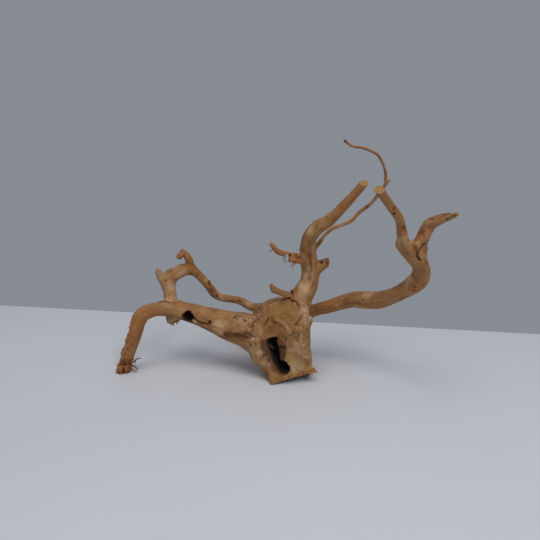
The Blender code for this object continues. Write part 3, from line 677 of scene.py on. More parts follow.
# Colour regions: place and radius.
ORANGE = [
    (-137, -12, 60, 15), (-143, -12, 45, 15), (-147, -12, 32, 15), (-151, -13, 18, 16),
    (-155, -13, 5, 14), (-128, -12, 66, 12), (-118, -12, 68, 9), (-84, 25, 108, 9), (-88, 22, 116, 7),
    (-80, 27, 98, 8), (-8, 20, 60, 12), (0, 12, 62, 8), (60, 2, 70, 12), (104, -88, 166, 7),
    (20, -5, 126, 9), (8, -10, 130, 6), (25, -4, 119, 7), (124, -70, 158, 8), (-70, 30, 84, 5),
    (117, -80, 148, 7), (126, -66, 110, 9), (69, -22, 177, 12), (80, -30, 190, 12), (142, -62, 171, 10),
]
PALE = [
    (-101, 0, 55, 13), (-102.5, 2, 64, 14), (-104, 4, 74, 14), (-106, 10, 86, 14), (-116, 10, 102, 10), (-98, 17, 100, 9),
    (-56, 33, 69, 7), (-24, 27, 61, 7), (-72, 30, 90, 5), (37, -2, 92, 12), (32, -10, 82, 9),
    (40, 0, 106, 9), (10, -38, 22, 10), (30, -36, 38, 12), (25, -38, 20, 12), (-12, -30, 36, 13),
    (-4, -34, 24, 9), (38, -8, 150, 7), (-50, -22, 58, 10), (104, -20, 84, 9), (113, -32, 94, 8),
    (107, -80, 157, 8), (-100, -4, 56, 9), (-104, -2, 66, 9),
    (41, -30, 25, 9), (96, -24, 90, 7), (120, -60, 118, 7),
]
STAINED = [
    (-7, -36, 42, 3.5), (-6.4, -36, 37, 3.2), (-4.4, -36.6, 32, 3), (-1.4, -37, 26, 3), (-30, -28, 47, 9),
    (-9, -35, 45, 2.2), (-9.6, -35, 39.6, 2), (-8.4, -35.6, 36, 1.8), (-11, -34, 33, 1.8), (146, -62, 172, 8),
    (126, -70, 154, 8), (132, -67, 163, 8), (139, -64, 169.5, 8), (127.5, -73, 142, 5.5),
    (153, -57, 173, 7), (136, -62, 161, 6), (124, -72, 161, 6),
    (-42, -24, 46, 9), (21.5, -38, 10.5, 3), (25, -37, 8, 3), (22, -38, 13.5, 2.5), (-66, -18, 54, 8),
]
GREENISH = [(20, -37, 27, 7), (26, -36, 23, 7), (19, -38, 14, 6), (-17, -34, 28, 7), (148, -60, 171, 7)]
YELLOW_RIM = [(8, -39, 6, 3.5), (13, -39, 7, 3.5), (18, -39, 8, 3.5), (23, -38, 8.5, 3.5), (28, -37, 9, 3.5),
              (34, -36, 9.5, 3.5), (40, -35, 10.5, 3.5)]


def limb_table(limbs, step):
    """Every limb's path, its points no more than step apart."""
    table = []
    for stations in limbs.values():
        path = smooth_path(stations, step)
        frames = path_frames(path)
        points = np.array([place for place, _ in path])
        steps = np.linalg.norm(np.diff(points, axis=0), axis=1)
        table.append({
            "points": points,
            "radii": np.array([radius for _, radius in path]),
            "directions": np.array([f[0] for f in frames]),
            "sides": np.array([f[1] for f in frames]),
            "ups": np.array([f[2] for f in frames]),
            "along": np.concatenate(([0.0], np.cumsum(steps))),
        })
    return table


def along_limbs(places, limbs=LIMBS, step=2.0):
    """For each place: the grain's direction, its place on its unbent limb, and the limb's radius."""
    table = limb_table(limbs, step)
    share = np.full((len(table), len(places)), 1e9)
    nearest = np.zeros((len(table), len(places)), int)
    for number, limb in enumerate(table):
        for start in range(0, len(places), 20000):
            part = places[start:start + 20000]
            square = (
                (part**2).sum(1)[:, None] - 2 * part @ limb["points"].T + (limb["points"]**2).sum(1)
            )
            reach = np.sqrt(np.maximum(square, 0)) / (limb["radii"] + 0.5)
            index = reach.argmin(1)
            nearest[number, start:start + 20000] = index
            share[number, start:start + 20000] = reach[np.arange(len(part)), index]
    best = share.argmin(0)
    least = share.min(0)
    directions = np.zeros((len(places), 3))
    unbent = np.zeros((len(places), 3))
    radii = np.zeros(len(places))
    for number, limb in enumerate(table):
        index = nearest[number]
        weight = np.exp(-9.0 * (share[number] - least))
        directions += weight[:, None] * limb["directions"][index]
        mine = best == number
        index = index[mine]
        off = places[mine] - limb["points"][index]
        run = (off * limb["directions"][index]).sum(1)
        unbent[mine, 0] = (off * limb["sides"][index]).sum(1)
        unbent[mine, 1] = (off * limb["ups"][index]).sum(1)
        unbent[mine, 2] = limb["along"][index] + run + 60.0 * number
        radii[mine] = limb["radii"][index]
    directions /= np.linalg.norm(directions, axis=1)[:, None] + 1e-9
    return directions, unbent, radii


def swollen(places, normals):
    """The burl's and limbs' swellings and hollows, and a little unevenness all over."""
    height = np.zeros(len(places))
    for x, y, z, radius, rise in SWELLINGS:
        away = np.linalg.norm(places - (x, y, z), axis=1) / radius
        height += rise * np.clip(1.0 - away**2, 0, 1) ** 2
    centre, half_sizes = BURL[0]
    from_burl = np.linalg.norm((places - centre) / half_sizes, axis=1)
    height += 0.5 * np.clip(2.2 - from_burl, 0.4, 1.0) * soft_noise(places, 12.0, 5)
    return places + normals * height[:, None]


def surface_relief(places, normals, shape):
    """Fine forms of the skin. Returns the moved places and the masks that the finish uses."""
    directions, _, radii = along_limbs(places)
    size = np.clip(radii / 9.0, 0.25, 1.0)
    lip = smooth_step(near_line(places, SCAR_LIP, 3.2), 0.1, 0.8)
    scar = near_spots(places, SCAR, 0.35, 4.0) * (1 - 0.6 * lip)
    callus = near_spots(places, CALLUS, 0.5, 3.0) * (1 - 0.75 * scar)
    foot = near_spots(places, FOOT, 0.2, 4.0)
    frayed = near_spots(places, FRAYED, 0.3, 2.5)
    centre, half_sizes = BURL[0]
    burl = np.clip(1.7 - np.linalg.norm((places - centre) / half_sizes, axis=1) * 1.15, 0, 1)

    fine = streaks(places, directions, 1.5, 9.0, 11)
    coarse = streaks(places, directions, 3.6, 20.0, 12)
    broad = streaks(places, directions, 8.0, 34.0, 13, 9)
    clean = 1 - 0.8 * np.maximum(scar, callus)
    height = shape.grain_depth / MM * clean * size * (0.9 * fine + 1.3 * coarse + 1.6 * broad)
    height += 0.10 * soft_noise(places, 1.3, 14) + 0.25 * size * soft_noise(places, 5.5, 15)

    bent = places + 1.3 * np.stack([soft_noise(places, 3.0, 53 + k) for k in range(3)], axis=1)
    lumps = crumbs(bent, 4.0, 21)
    small = crumbs(bent, 2.2, 25)
    crumb = shape.crumb_height / MM
    height += callus * crumb * (1.2 * lumps + 0.7 * small - 0.5)
    # The gaps between the callus's lumps, which get painted shade with some dirt.
    gaps = callus * smooth_step(np.minimum(lumps, small + 0.1), 0.30, 0.06)
    gaps *= 1 - 0.75 * near_spots(places, CALLUS_SMOOTH, 0.2, 4.0)
    height += burl * (1 - callus) * (1 - scar) * crumb * 0.35 * (layered_noise(places, 5.0, 27) + small - 0.4)
    gouges = streaks(places, np.tile((0.28, -0.35, 0.89), (len(places), 1)), 2.2, 11.0, 31)
    height += scar * (0.3 * gouges + 0.45 * layered_noise(places, 6.0, 33) - 0.4)

    dark = np.zeros(len(places))
    for points, width, depth in CRACKS:
        wobbling = places + 0.55 * np.stack([soft_noise(places, 2.2, 51 + k) for k in range(3)], axis=1)
        line = near_line(wobbling, points, 0.8 * width)
        height -= depth * shape.crack_depth * smooth_step(line, 0.15, 0.9)
        dark = np.maximum(dark, smooth_step(line, 0.35, 0.8))
    for points, width, depth in FURROWS:
        height -= depth * smooth_step(near_line(places, points, width), 0, 1)
    for points, width, rise in RIDGES:
        height += rise * smooth_step(near_line(places, points, width), 0, 1)

    red = np.zeros(len(places))
    for x, y, z, radius, rise, redness in KNOTS:
        away = np.linalg.norm(places - (x, y, z), axis=1) * (1 + 0.3 * soft_noise(places, 1.8, 43))
        spot = np.clip(1 - (away / radius) ** 2, 0, 1)
        height += rise * spot
        red = np.maximum(red, redness * smooth_step(spot, 0.05, 0.6))

    slope = near_line(places, POCKET_SLOPE, 4.6) * (1 + 0.6 * soft_noise(places, 2.4, 57))
    bark = near_spots(places, BARK, 0.7, 2.6)
    flakes = smooth_step(bark + 0.35 * soft_noise(places, 3.2, 61), 0.42, 0.52) * (bark > 0)
    height += 1.15 * flakes * (1 + 0.4 * fine)
    pits = smooth_step(crumbs(places, 3.4, 65), 0.28, 0.02) * foot
    height -= 1.1 * pits + 0.5 * foot * np.abs(coarse)
    height += frayed * (0.9 * fine + 0.5 * soft_noise(places, 1.6, 71))
    moved = places + normals * height[:, None]

    masks = {
        "scar": scar, "callus": callus, "slope": smooth_step(slope, 0.1, 0.9), "red": np.maximum(red, 0.75 * foot * pits),
        # The dark mask also paints shade into the callus's gaps and the foot's pits, and the red mask paints the pits
        # dark red.
        "dark": np.maximum(dark, np.maximum(0.5 * pits, 0.5 * gaps)), "flakes": flakes, "foot": foot,
        # The hollow mask sets where painted shade falls in hollows and gaps, and where a painted highlight lies on
        # what stands proud.
        "hollow": np.maximum(np.clip(0.5 - 0.45 * (height - 0.2) * (1 - 0.7 * scar), 0, 1), gaps),
    }
    return moved, masks


def pocket_mouth():
    """The mouth's outline, filled and extruded back into the block, narrower at its back."""
    deselect_all()
    bpy.ops.mesh.primitive_circle_add(vertices=len(POCKET_MOUTH), radius=0.01, fill_type="NGON")
    mouth = bpy.context.object
    mouth.name = "pocket_mouth"
    outline = [(x, MOUTH_FRONT_Y, z) for x, z in POCKET_MOUTH]
    mouth.data.vertices.foreach_set("co", drawn(outline).ravel())
    bpy.ops.object.mode_set(mode="EDIT")
    bpy.ops.mesh.select_all(action="SELECT")
    back = (0.0, (MOUTH_BACK_Y - MOUTH_FRONT_Y) * MM, 0.0)
    bpy.ops.mesh.extrude_region_move(TRANSFORM_OT_translate={"value": back})
    bpy.ops.object.mode_set(mode="OBJECT")
    bpy.ops.object.transform_apply(location=True, rotation=True, scale=True)
    places = places_of(mouth.data)
    deeper = places[:, 1] > 0.5 * (MOUTH_FRONT_Y + MOUTH_BACK_Y)
    heart = np.array((MOUTH_HEART[0], 0.0, MOUTH_HEART[1]))
    narrowed = (places - heart) * np.array((MOUTH_TAPER, 0.0, 0.4 * MOUTH_TAPER))
    put_places(mouth.data, places - narrowed * deeper[:, None])
    make_active(mouth)
    bpy.ops.object.mode_set(mode="EDIT")
    bpy.ops.mesh.select_all(action="SELECT")
    bpy.ops.mesh.quads_convert_to_tris()
    bpy.ops.mesh.normals_make_consistent(inside=False)
    bpy.ops.object.mode_set(mode="OBJECT")
    return mouth


def bored_out(root):
    """Cuts the rotten pocket and the limb's hole, each with a lumpy wall."""
    cutters = [grow_limb(name, stations, 16, 1.5) for name, stations in HOLES.items()]
    cutter = join(cutters + [pocket_mouth()], "rotten_holes")
    one_skin(cutter, 0.6)
    smooth_skin(cutter, 2)
    places = places_of(cutter.data)
    uneven = 0.55 * soft_noise(places, 3.6, 81) + 0.4 * soft_noise(places, 1.7, 82)
    put_places(cutter.data, places + normals_of(cutter.data) * uneven[:, None])
    make_active(root)
    cut = root.modifiers.new("rotten_holes", "BOOLEAN")
    cut.operation = "DIFFERENCE"
    cut.solver = "EXACT"
    cut.object = cutter
    bpy.ops.object.modifier_apply(modifier=cut.name)
    walls = BVHTree.FromPolygons(
        [vert.co.copy() for vert in cutter.data.vertices],
        [tuple(face.vertices) for face in cutter.data.polygons],
    )
    bpy.data.objects.remove(cutter)
    return walls


def sawn(root, name, point, facing, reach):
    """Cuts one end off flat: the faces near it are bisected and the opening is closed."""
    point = Vector(drawn(point))
    facing = Vector(facing).normalized()
    deselect_faces(root.data)
    middles = np.empty(len(root.data.polygons) * 3, np.float32)
    root.data.polygons.foreach_get("center", middles)
    away = middles.reshape(-1, 3) - np.array(point)
    near = (np.linalg.norm(away, axis=1) < reach * MM) & (away @ np.array(facing) > -1.5 * MM)
    root.data.polygons.foreach_set("select", near)
    make_active(root)
    bpy.ops.object.mode_set(mode="EDIT")
    bpy.ops.mesh.select_mode(type="FACE")
    bpy.ops.mesh.bisect(plane_co=point, plane_no=facing, use_fill=True, clear_outer=True, threshold=1e-7)
    bpy.ops.object.mode_set(mode="OBJECT")


def thin_out(obj, triangles):
    """Fewer faces, kept where the skin bends."""
    make_active(obj)
    obj.data.calc_loop_triangles()
    present = len(obj.data.loop_triangles)
    if present > triangles:
        thinner = obj.modifiers.new("fewer_faces", "DECIMATE")
        thinner.ratio = triangles / present
        bpy.ops.object.modifier_apply(modifier=thinner.name)


def in_holes(places, walls):
    """Where the holes' walls are: 1 on them, and how deep in the wood each lies, 1 at the depth where the painted
    shade turns black.
    """
    inside = np.zeros(len(places))
    near = near_spots(places, HOLE_REACHES, 0.0)
    for index in np.nonzero(near)[0]:
        found = walls.find_nearest(Vector(drawn(places[index])), 1.2 * MM)
        if found[3] is not None:
            inside[index] = found[3] / MM
        else:
            inside[index] = 9.0
    inside = np.where(near > 0, smooth_step(inside, 1.1, 0.5), 0.0)
    front = np.where(places[:, 0] > -40, POCKET_FRONT_Y, LIMB_HOLE_FRONT_Y)
    darkest = np.where(places[:, 0] > -40, 1.0, 0.86)
    return inside, inside * darkest * smooth_step(places[:, 1] - front, HOLE_DIM, HOLE_BLACK)


def write_masks(mesh, places, masks):
    """Keeps the masks on the skin, four to an attribute, and each place on its unbent limb."""
    packs = {
        "wood_tone": ("orange", "pale", "red", "dark"),
        "wood_form": ("scar", "callus", "hollow", "flakes"),
        "wood_state": ("stain", "green", "cream", "rim"),
        "wood_holes": ("inside", "deep", "brown_scar", "foot"),
    }
    for name, parts in packs.items():
        values = np.stack([np.clip(masks.get(part, np.zeros(len(places))), 0, 1) for part in parts], axis=1)
        attribute = mesh.attributes.new(name, "FLOAT_COLOR", "POINT")
        attribute.data.foreach_set("color", values.astype(np.float32).ravel())
    grain = mesh.attributes.new("along_grain", "FLOAT_VECTOR", "POINT")
    grain.data.foreach_set("vector", masks["unbent"].astype(np.float32).ravel())


def colour_masks(places):
    return {
        "orange": near_spots(places, ORANGE, 0.5, 7.0),
        "pale": near_spots(places, PALE, 0.5, 6.0),
        "stain": near_spots(places, STAINED, 0.5, 3.5),
        "green": near_spots(places, GREENISH, 0.5, 4.0),
        "cream": near_spots(places, CALLUS_CREAM, 0.5, 3.0),
        "rim": near_spots(places, YELLOW_RIM, 0.6, 2.0),
        "brown_scar": near_spots(places, SCAR_BROWN, 0.25, 5.0),
    }


def sheet_of_nodes(tree):
    """Short ways to add and join nodes in a node tree."""
    def put(kind, inputs=None, **settings):
        node = tree.nodes.new(kind)
        for name, value in settings.items():
            setattr(node, name, value)
        for key, value in (inputs or {}).items():
            if isinstance(value, bpy.types.NodeSocket):
                tree.links.new(value, node.inputs[key])
            else:
                node.inputs[key].default_value = value
        return node

    def maths(operation, first, second=0.0, clamp=False):
        return put("ShaderNodeMath", {0: first, 1: second}, operation=operation, use_clamp=clamp).outputs[0]

    def mix(share, first, second, blend="MIX"):
        node = put("ShaderNodeMix", {0: share}, data_type="RGBA", blend_type=blend)
        for socket, value in ((6, first), (7, second)):
            if isinstance(value, bpy.types.NodeSocket):
                tree.links.new(value, node.inputs[socket])
            else:
                node.inputs[socket].default_value = (*value[:3], 1.0)
        return node.outputs[2]

    def ranged(value, low, high, to_low=0.0, to_high=1.0):
        inputs = {"Value": value, "From Min": low, "From Max": high, "To Min": to_low, "To Max": to_high}
        return put("ShaderNodeMapRange", inputs, interpolation_type="SMOOTHSTEP").outputs[0]

    return put, maths, mix, ranged


def new_group(name, inputs, outputs):
    group = bpy.data.node_groups.new(name, "ShaderNodeTree")
    for label, kind, value in inputs:
        socket = group.interface.new_socket(label, in_out="INPUT", socket_type=kind)
        if value is not None:
            socket.default_value = value
    for label, kind in outputs:
        group.interface.new_socket(label, in_out="OUTPUT", socket_type=kind)
    start = group.nodes.new("NodeGroupInput")
    end = group.nodes.new("NodeGroupOutput")
    return group, start, end


def streaks_group():
    """Long fine lines of the grain, from a place on the unbent limb in millimetres."""
    group, start, end = new_group(
        "grain_streaks",
        [("Along grain", "NodeSocketVector", None), ("Closeness", "NodeSocketFloat", 1.0)],
        [("Broad", "NodeSocketFloat"), ("Fine", "NodeSocketFloat"), ("Hairline", "NodeSocketFloat")],
    )
    put, maths, _, ranged = sheet_of_nodes(group)
    place = start.outputs[0]
    wide = put("ShaderNodeVectorMath", {0: place, 1: (0.34, 0.34, 0.022)}, operation="MULTIPLY").outputs[0]
    wide = put("ShaderNodeVectorMath", {0: wide, "Scale": start.outputs[1]}, operation="SCALE").outputs[0]
    thin = put("ShaderNodeVectorMath", {0: place, 1: (1.1, 1.1, 0.05)}, operation="MULTIPLY").outputs[0]
    thin = put("ShaderNodeVectorMath", {0: thin, "Scale": start.outputs[1]}, operation="SCALE").outputs[0]
    hair = put("ShaderNodeVectorMath", {0: place, 1: (2.6, 2.6, 0.10)}, operation="MULTIPLY").outputs[0]
    broad = put("ShaderNodeTexNoise", {"Vector": wide, "Scale": 1.0, "Detail": 3.0, "Roughness": 0.6})
    fine = put("ShaderNodeTexNoise", {"Vector": thin, "Scale": 1.0, "Detail": 3.0, "Roughness": 0.65})
    line = put("ShaderNodeTexNoise", {"Vector": hair, "Scale": 1.0, "Detail": 2.0, "Roughness": 0.7})
    group.links.new(ranged(broad.outputs[0], 0.3, 0.7), end.inputs[0])
    group.links.new(ranged(fine.outputs[0], 0.3, 0.7), end.inputs[1])
    group.links.new(ranged(line.outputs[0], 0.50, 0.70), end.inputs[2])
    return group


def mottling_group():
    """Uneven patches, specks and pores, from the object's own coordinates in metres."""
    group, start, end = new_group(
        "wood_mottling",
        [("Place", "NodeSocketVector", None)],
        [("Patches", "NodeSocketFloat"), ("Specks", "NodeSocketFloat"), ("Pores", "NodeSocketFloat")],
    )
    put, maths, _, ranged = sheet_of_nodes(group)
    place = start.outputs[0]
    large = put("ShaderNodeTexNoise", {"Vector": place, "Scale": 75.0, "Detail": 4.0, "Roughness": 0.55})
    small = put("ShaderNodeTexNoise", {"Vector": place, "Scale": 420.0, "Detail": 3.0, "Roughness": 0.6})
    pores = put("ShaderNodeTexVoronoi", {"Vector": place, "Scale": 520.0, "Randomness": 1.0})
    group.links.new(ranged(large.outputs[0], 0.32, 0.68), end.inputs[0])
    group.links.new(ranged(small.outputs[0], 0.35, 0.65), end.inputs[1])
    group.links.new(ranged(pores.outputs["Distance"], 0.22, 0.08), end.inputs[2])
    return group


def painted_shading_group():
    """Darkens a colour in hollows, as painted shade with some dirt, and makes it lighter and greyer on what stands
    proud, as a painted highlight.
    """
    group, start, end = new_group(
        "wood_wear",
        [("Colour", "NodeSocketColor", (0.4, 0.25, 0.13, 1.0)), ("Hollow", "NodeSocketFloat", 0.5),
         ("Specks", "NodeSocketFloat", 0.5), ("Amount", "NodeSocketFloat", 1.0)],
        [("Colour", "NodeSocketColor")],
    )
    put, maths, mix, ranged = sheet_of_nodes(group)
    # Painted shade in the hollows, and a painted highlight on what stands proud.
    deep = maths("MULTIPLY", ranged(start.outputs[1], 0.52, 0.95), start.outputs[3], True)
    proud = maths("MULTIPLY", ranged(start.outputs[1], 0.42, 0.12), start.outputs[3], True)
    darker = mix(1.0, start.outputs[0], (0.50, 0.40, 0.32), "MULTIPLY")
    colour = mix(deep, start.outputs[0], darker)
    lighter = mix(0.35, start.outputs[0], (0.60, 0.42, 0.25))
    colour = mix(maths("MULTIPLY", proud, 0.35), colour, lighter)
    speckled = mix(1.0, colour, (0.80, 0.74, 0.70), "MULTIPLY")
    colour = mix(maths("MULTIPLY", ranged(start.outputs[2], 0.62, 0.9), 0.5), colour, speckled)
    group.links.new(colour, end.inputs[0])
    return group


def group_node(tree, group, inputs):
    node = tree.nodes.new("ShaderNodeGroup")
    node.node_tree = group
    for key, value in inputs.items():
        if isinstance(value, bpy.types.NodeSocket):
            tree.links.new(value, node.inputs[key])
        else:
            node.inputs[key].default_value = value
    return node


def shared_groups():
    if "grain_streaks" not in bpy.data.node_groups:
        streaks_group()
        mottling_group()
        painted_shading_group()
    return (bpy.data.node_groups[name] for name in ("grain_streaks", "wood_mottling", "wood_wear"))


def new_material(name, roughness):
    material = bpy.data.materials.new(name)
    material.use_nodes = True
    tree = material.node_tree
    shader = tree.nodes["Principled BSDF"]
    shader.inputs["Roughness"].default_value = roughness
    shader.inputs["Metallic"].default_value = 0.0
    shader.inputs["Specular IOR Level"].default_value = 0.3
    return material, tree, shader


def peeled_wood(name, colours, closeness=1.0):
    """Dry peeled root wood. Its regions come from the masks that the skin keeps."""
    material, tree, shader = new_material(name, 0.8)
    put, maths, mix, ranged = sheet_of_nodes(tree)
    streaks_made, mottling_made, shading_and_dirt_made = shared_groups()
    place = put("ShaderNodeTexCoord").outputs["Object"]
    grain = put("ShaderNodeAttribute", attribute_name="along_grain").outputs["Vector"]
    lines = group_node(tree, streaks_made, {0: grain, 1: closeness}).outputs
    spots = group_node(tree, mottling_made, {0: place}).outputs

    def masks(attribute):
        found = put("ShaderNodeAttribute", attribute_name=attribute)
        parts = put("ShaderNodeSeparateColor", {0: found.outputs["Color"]}).outputs
        return parts[0], parts[1], parts[2], found.outputs["Alpha"]

    orange, pale, red, dark = masks("wood_tone")
    scar, callus, hollow, flakes = masks("wood_form")
    stain, green, cream, rim = masks("wood_state")
    inside, deep, brown_scar, foot = masks("wood_holes")

    colour = mix(spots[0], colours.tan, colours.deep_tan)
    colour = mix(maths("MULTIPLY", pale, ranged(spots[0], 0.9, 0.2, 0.6, 1.0)), colour, colours.pale)
    colour = mix(maths("MULTIPLY", orange, ranged(spots[1], 0.0, 1.0, 0.7, 1.0)), colour, colours.orange)
    colour = mix(maths("MULTIPLY", green, 0.6), colour, colours.green)
    colour = mix(maths("MULTIPLY", stain, ranged(spots[0], 0.0, 1.0, 0.5, 0.95)), colour, colours.stain)
    scarred = mix(brown_scar, mix(spots[0], colours.scar, colours.scar_light), colours.scar_brown)
    colour = mix(maths("MULTIPLY", scar, 0.92), colour, scarred)
    crumbly = mix(ranged(spots[1], 0.2, 0.8), colours.callus, colours.tan)
    crumbly = mix(cream, crumbly, colours.cream)
    colour = mix(maths("MULTIPLY", callus, 0.8), colour, crumbly)
    colour = mix(maths("MULTIPLY", flakes, 0.75), colour, mix(lines[1], colours.bark, colours.deep_tan))
    colour = mix(maths("MULTIPLY", rim, 0.85), colour, mix(spots[1], colours.sawn, colours.orange))

    plain = maths("SUBTRACT", 1.0, maths("MULTIPLY", maths("MAXIMUM", scar, callus), 0.65), True)
    streaked = mix(1.0, colour, (0.70, 0.60, 0.52), "MULTIPLY")
    share = maths("MULTIPLY", maths("MULTIPLY", ranged(lines[1], 0.45, 0.95), plain), 0.55)
    colour = mix(share, colour, streaked)
    lit = mix(0.25, colour, (0.62, 0.43, 0.25))
    colour = mix(maths("MULTIPLY", maths("MULTIPLY", ranged(lines[0], 0.55, 0.1), plain), 0.4), colour, lit)
    colour = mix(maths("MULTIPLY", maths("MULTIPLY", lines[2], plain), 0.3), colour, streaked)
    colour = group_node(tree, shading_and_dirt_made, {0: colour, 1: hollow, 2: spots[1], 3: 1.0}).outputs[0]
    bruise = mix(ranged(red, 0.55, 1.0), colours.bruise, colours.dark_red)
    colour = mix(ranged(red, 0.1, 0.75), colour, bruise)
    # The crack colour also serves as painted shade in the callus's gaps and the foot's pits.
    colour = mix(maths("MULTIPLY", dark, 0.75), colour, colours.crack)
    wall = mix(maths("MULTIPLY", ranged(spots[1], 0.3, 0.8), 0.45), colours.rot_wall, colours.stain)
    # Painted shade: the holes' walls go black with depth.
    wall = mix(ranged(deep, 0.15, 0.7), wall, colours.rot)
    colour = mix(inside, colour, wall)
    tree.links.new(colour, shader.inputs["Base Color"])

    rough = maths("ADD", maths("MULTIPLY", spots[1], 0.12), 0.70)
    rough = maths("ADD", rough, maths("MULTIPLY", maths("MAXIMUM", callus, inside), 0.15), True)
    tree.links.new(rough, shader.inputs["Roughness"])
    height = maths("MULTIPLY", maths("SUBTRACT", 1.0, lines[1]), 0.55)
    height = maths("ADD", height, maths("MULTIPLY", maths("SUBTRACT", 1.0, lines[2]), 0.35))
    height = maths("MULTIPLY", height, plain)
    height = maths("ADD", height, maths("MULTIPLY", spots[1], 0.35))
    pitted = maths("MULTIPLY", spots[2], maths("ADD", maths("MULTIPLY", maths("MAXIMUM", scar, callus), 0.9), 0.1))
    height = maths("SUBTRACT", height, pitted)
    bump = put("ShaderNodeBump", {"Strength": 0.55, "Distance": 0.0005, "Height": height})
    tree.links.new(bump.outputs[0], shader.inputs["Normal"])
    return material


def sawn_wood(name, colours):
    """End grain: rings round the limb's heart, saw marks and mottling."""
    material, tree, shader = new_material(name, 0.78)
    put, maths, mix, ranged = sheet_of_nodes(tree)
    _, mottling_made, shading_and_dirt_made = shared_groups()
    place = put("ShaderNodeTexCoord").outputs["Object"]
    grain = put("ShaderNodeAttribute", attribute_name="along_grain").outputs["Vector"]
    spots = group_node(tree, mottling_made, {0: place}).outputs
    flat = put("ShaderNodeVectorMath", {0: grain, 1: (1.0, 1.0, 0.0)}, operation="MULTIPLY").outputs[0]
    bend = put("ShaderNodeTexNoise", {"Vector": place, "Scale": 160.0, "Detail": 2.0})
    away = put("ShaderNodeVectorMath", {0: flat}, operation="LENGTH").outputs["Value"]
    away = maths("ADD", away, maths("MULTIPLY", bend.outputs[0], 1.4))
    rings = maths("ADD", maths("MULTIPLY", maths("SINE", maths("MULTIPLY", away, 6.0)), 0.5), 0.5)
    marks = put("ShaderNodeTexWave", {"Vector": place, "Scale": 260.0, "Distortion": 1.5, "Detail": 1.0})
    colour = mix(ranged(rings, 0.2, 1.0), colours.sawn, colours.sawn_ring)
    colour = mix(maths("MULTIPLY", spots[0], 0.5), colour, colours.tan)
    colour = mix(maths("MULTIPLY", ranged(marks.outputs["Fac"], 0.6, 0.95), 0.25), colour, colours.pale)
    colour = group_node(tree, shading_and_dirt_made, {0: colour, 1: 0.5, 2: spots[1], 3: 0.7}).outputs[0]
    tree.links.new(colour, shader.inputs["Base Color"])
    height = maths("ADD", maths("MULTIPLY", rings, 0.5), maths("MULTIPLY", marks.outputs["Fac"], 0.4))
    height = maths("ADD", height, maths("MULTIPLY", spots[1], 0.6))
    bump = put("ShaderNodeBump", {"Strength": 0.5, "Distance": 0.0004, "Height": height})
    tree.links.new(bump.outputs[0], shader.inputs["Normal"])
    return material


def finished(piece, materials):
    """Gives a piece its materials and soft shading, and lets it ride on the root."""
    for material in materials:
        piece.data.materials.append(material)
    make_active(piece)
    bpy.ops.object.shade_smooth_by_angle(angle=math.radians(50))
    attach(piece, BODY)
    return piece


def wood_materials():
    """The finishes that every piece shares, made once."""
    made = bpy.data.materials
    colours = bpy.context.scene.root_colours
    if "peeled_root_wood" not in made:
        peeled_wood("peeled_root_wood", colours)
        peeled_wood("twig_wood", colours, 2.2)
        sawn_wood("sawn_end_grain", colours)
    return made["peeled_root_wood"], made["twig_wood"], made["sawn_end_grain"]


def mark_sawn_faces(mesh):
    """Gives the clean saw cuts the end-grain finish."""
    middles = np.empty(len(mesh.polygons) * 3, np.float32)
    mesh.polygons.foreach_get("center", middles)
    middles = middles.reshape(-1, 3)
    facings = np.empty(len(mesh.polygons) * 3, np.float32)
    mesh.polygons.foreach_get("normal", facings)
    facings = facings.reshape(-1, 3)
    chosen = np.zeros(len(mesh.polygons), np.int32)
    for name, (point, facing, reach) in SAW_CUTS.items():
        way = np.array(Vector(facing).normalized())
        off = middles - drawn(point)
        on_plane = np.abs(off @ way) < 0.00015
        chosen[on_plane & (facings @ way > 0.98) & (np.linalg.norm(off, axis=1) < reach * MM)] = 1
    mesh.polygons.foreach_set("material_index", chosen)


def roughen_ends(root):
    """Makes the broken ends uneven: their flat faces get points, and these are moved in and out."""
    for name in BROKEN_ENDS:
        point, facing, reach = SAW_CUTS[name]
        way = np.array(Vector(facing).normalized())
        middles = np.empty(len(root.data.polygons) * 3, np.float32)
        root.data.polygons.foreach_get("center", middles)
        facings = np.empty(len(root.data.polygons) * 3, np.float32)
        root.data.polygons.foreach_get("normal", facings)
        off = middles.reshape(-1, 3) - drawn(point)
        flat = (np.abs(off @ way) < 0.00003) & (facings.reshape(-1, 3) @ way > 0.999)
        flat &= np.linalg.norm(off, axis=1) < reach * MM
        deselect_faces(root.data)
        root.data.polygons.foreach_set("select", flat)
        make_active(root)
        bpy.ops.object.mode_set(mode="EDIT")
        bpy.ops.mesh.select_mode(type="FACE")
        bpy.ops.mesh.quads_convert_to_tris()
        for _ in range(4):
            bpy.ops.mesh.subdivide(number_cuts=1)
        bpy.ops.object.mode_set(mode="OBJECT")
        places = places_of(root.data)
        near = (np.abs((places - point) @ way) < 0.05) & (np.linalg.norm(places - point, axis=1) < reach)
        rough = 0.5 * soft_noise(places, 2.6, 91) + 0.35 * soft_noise(places, 1.1, 92) - 0.3
        put_places(root.data, places + np.outer(near * rough, way))


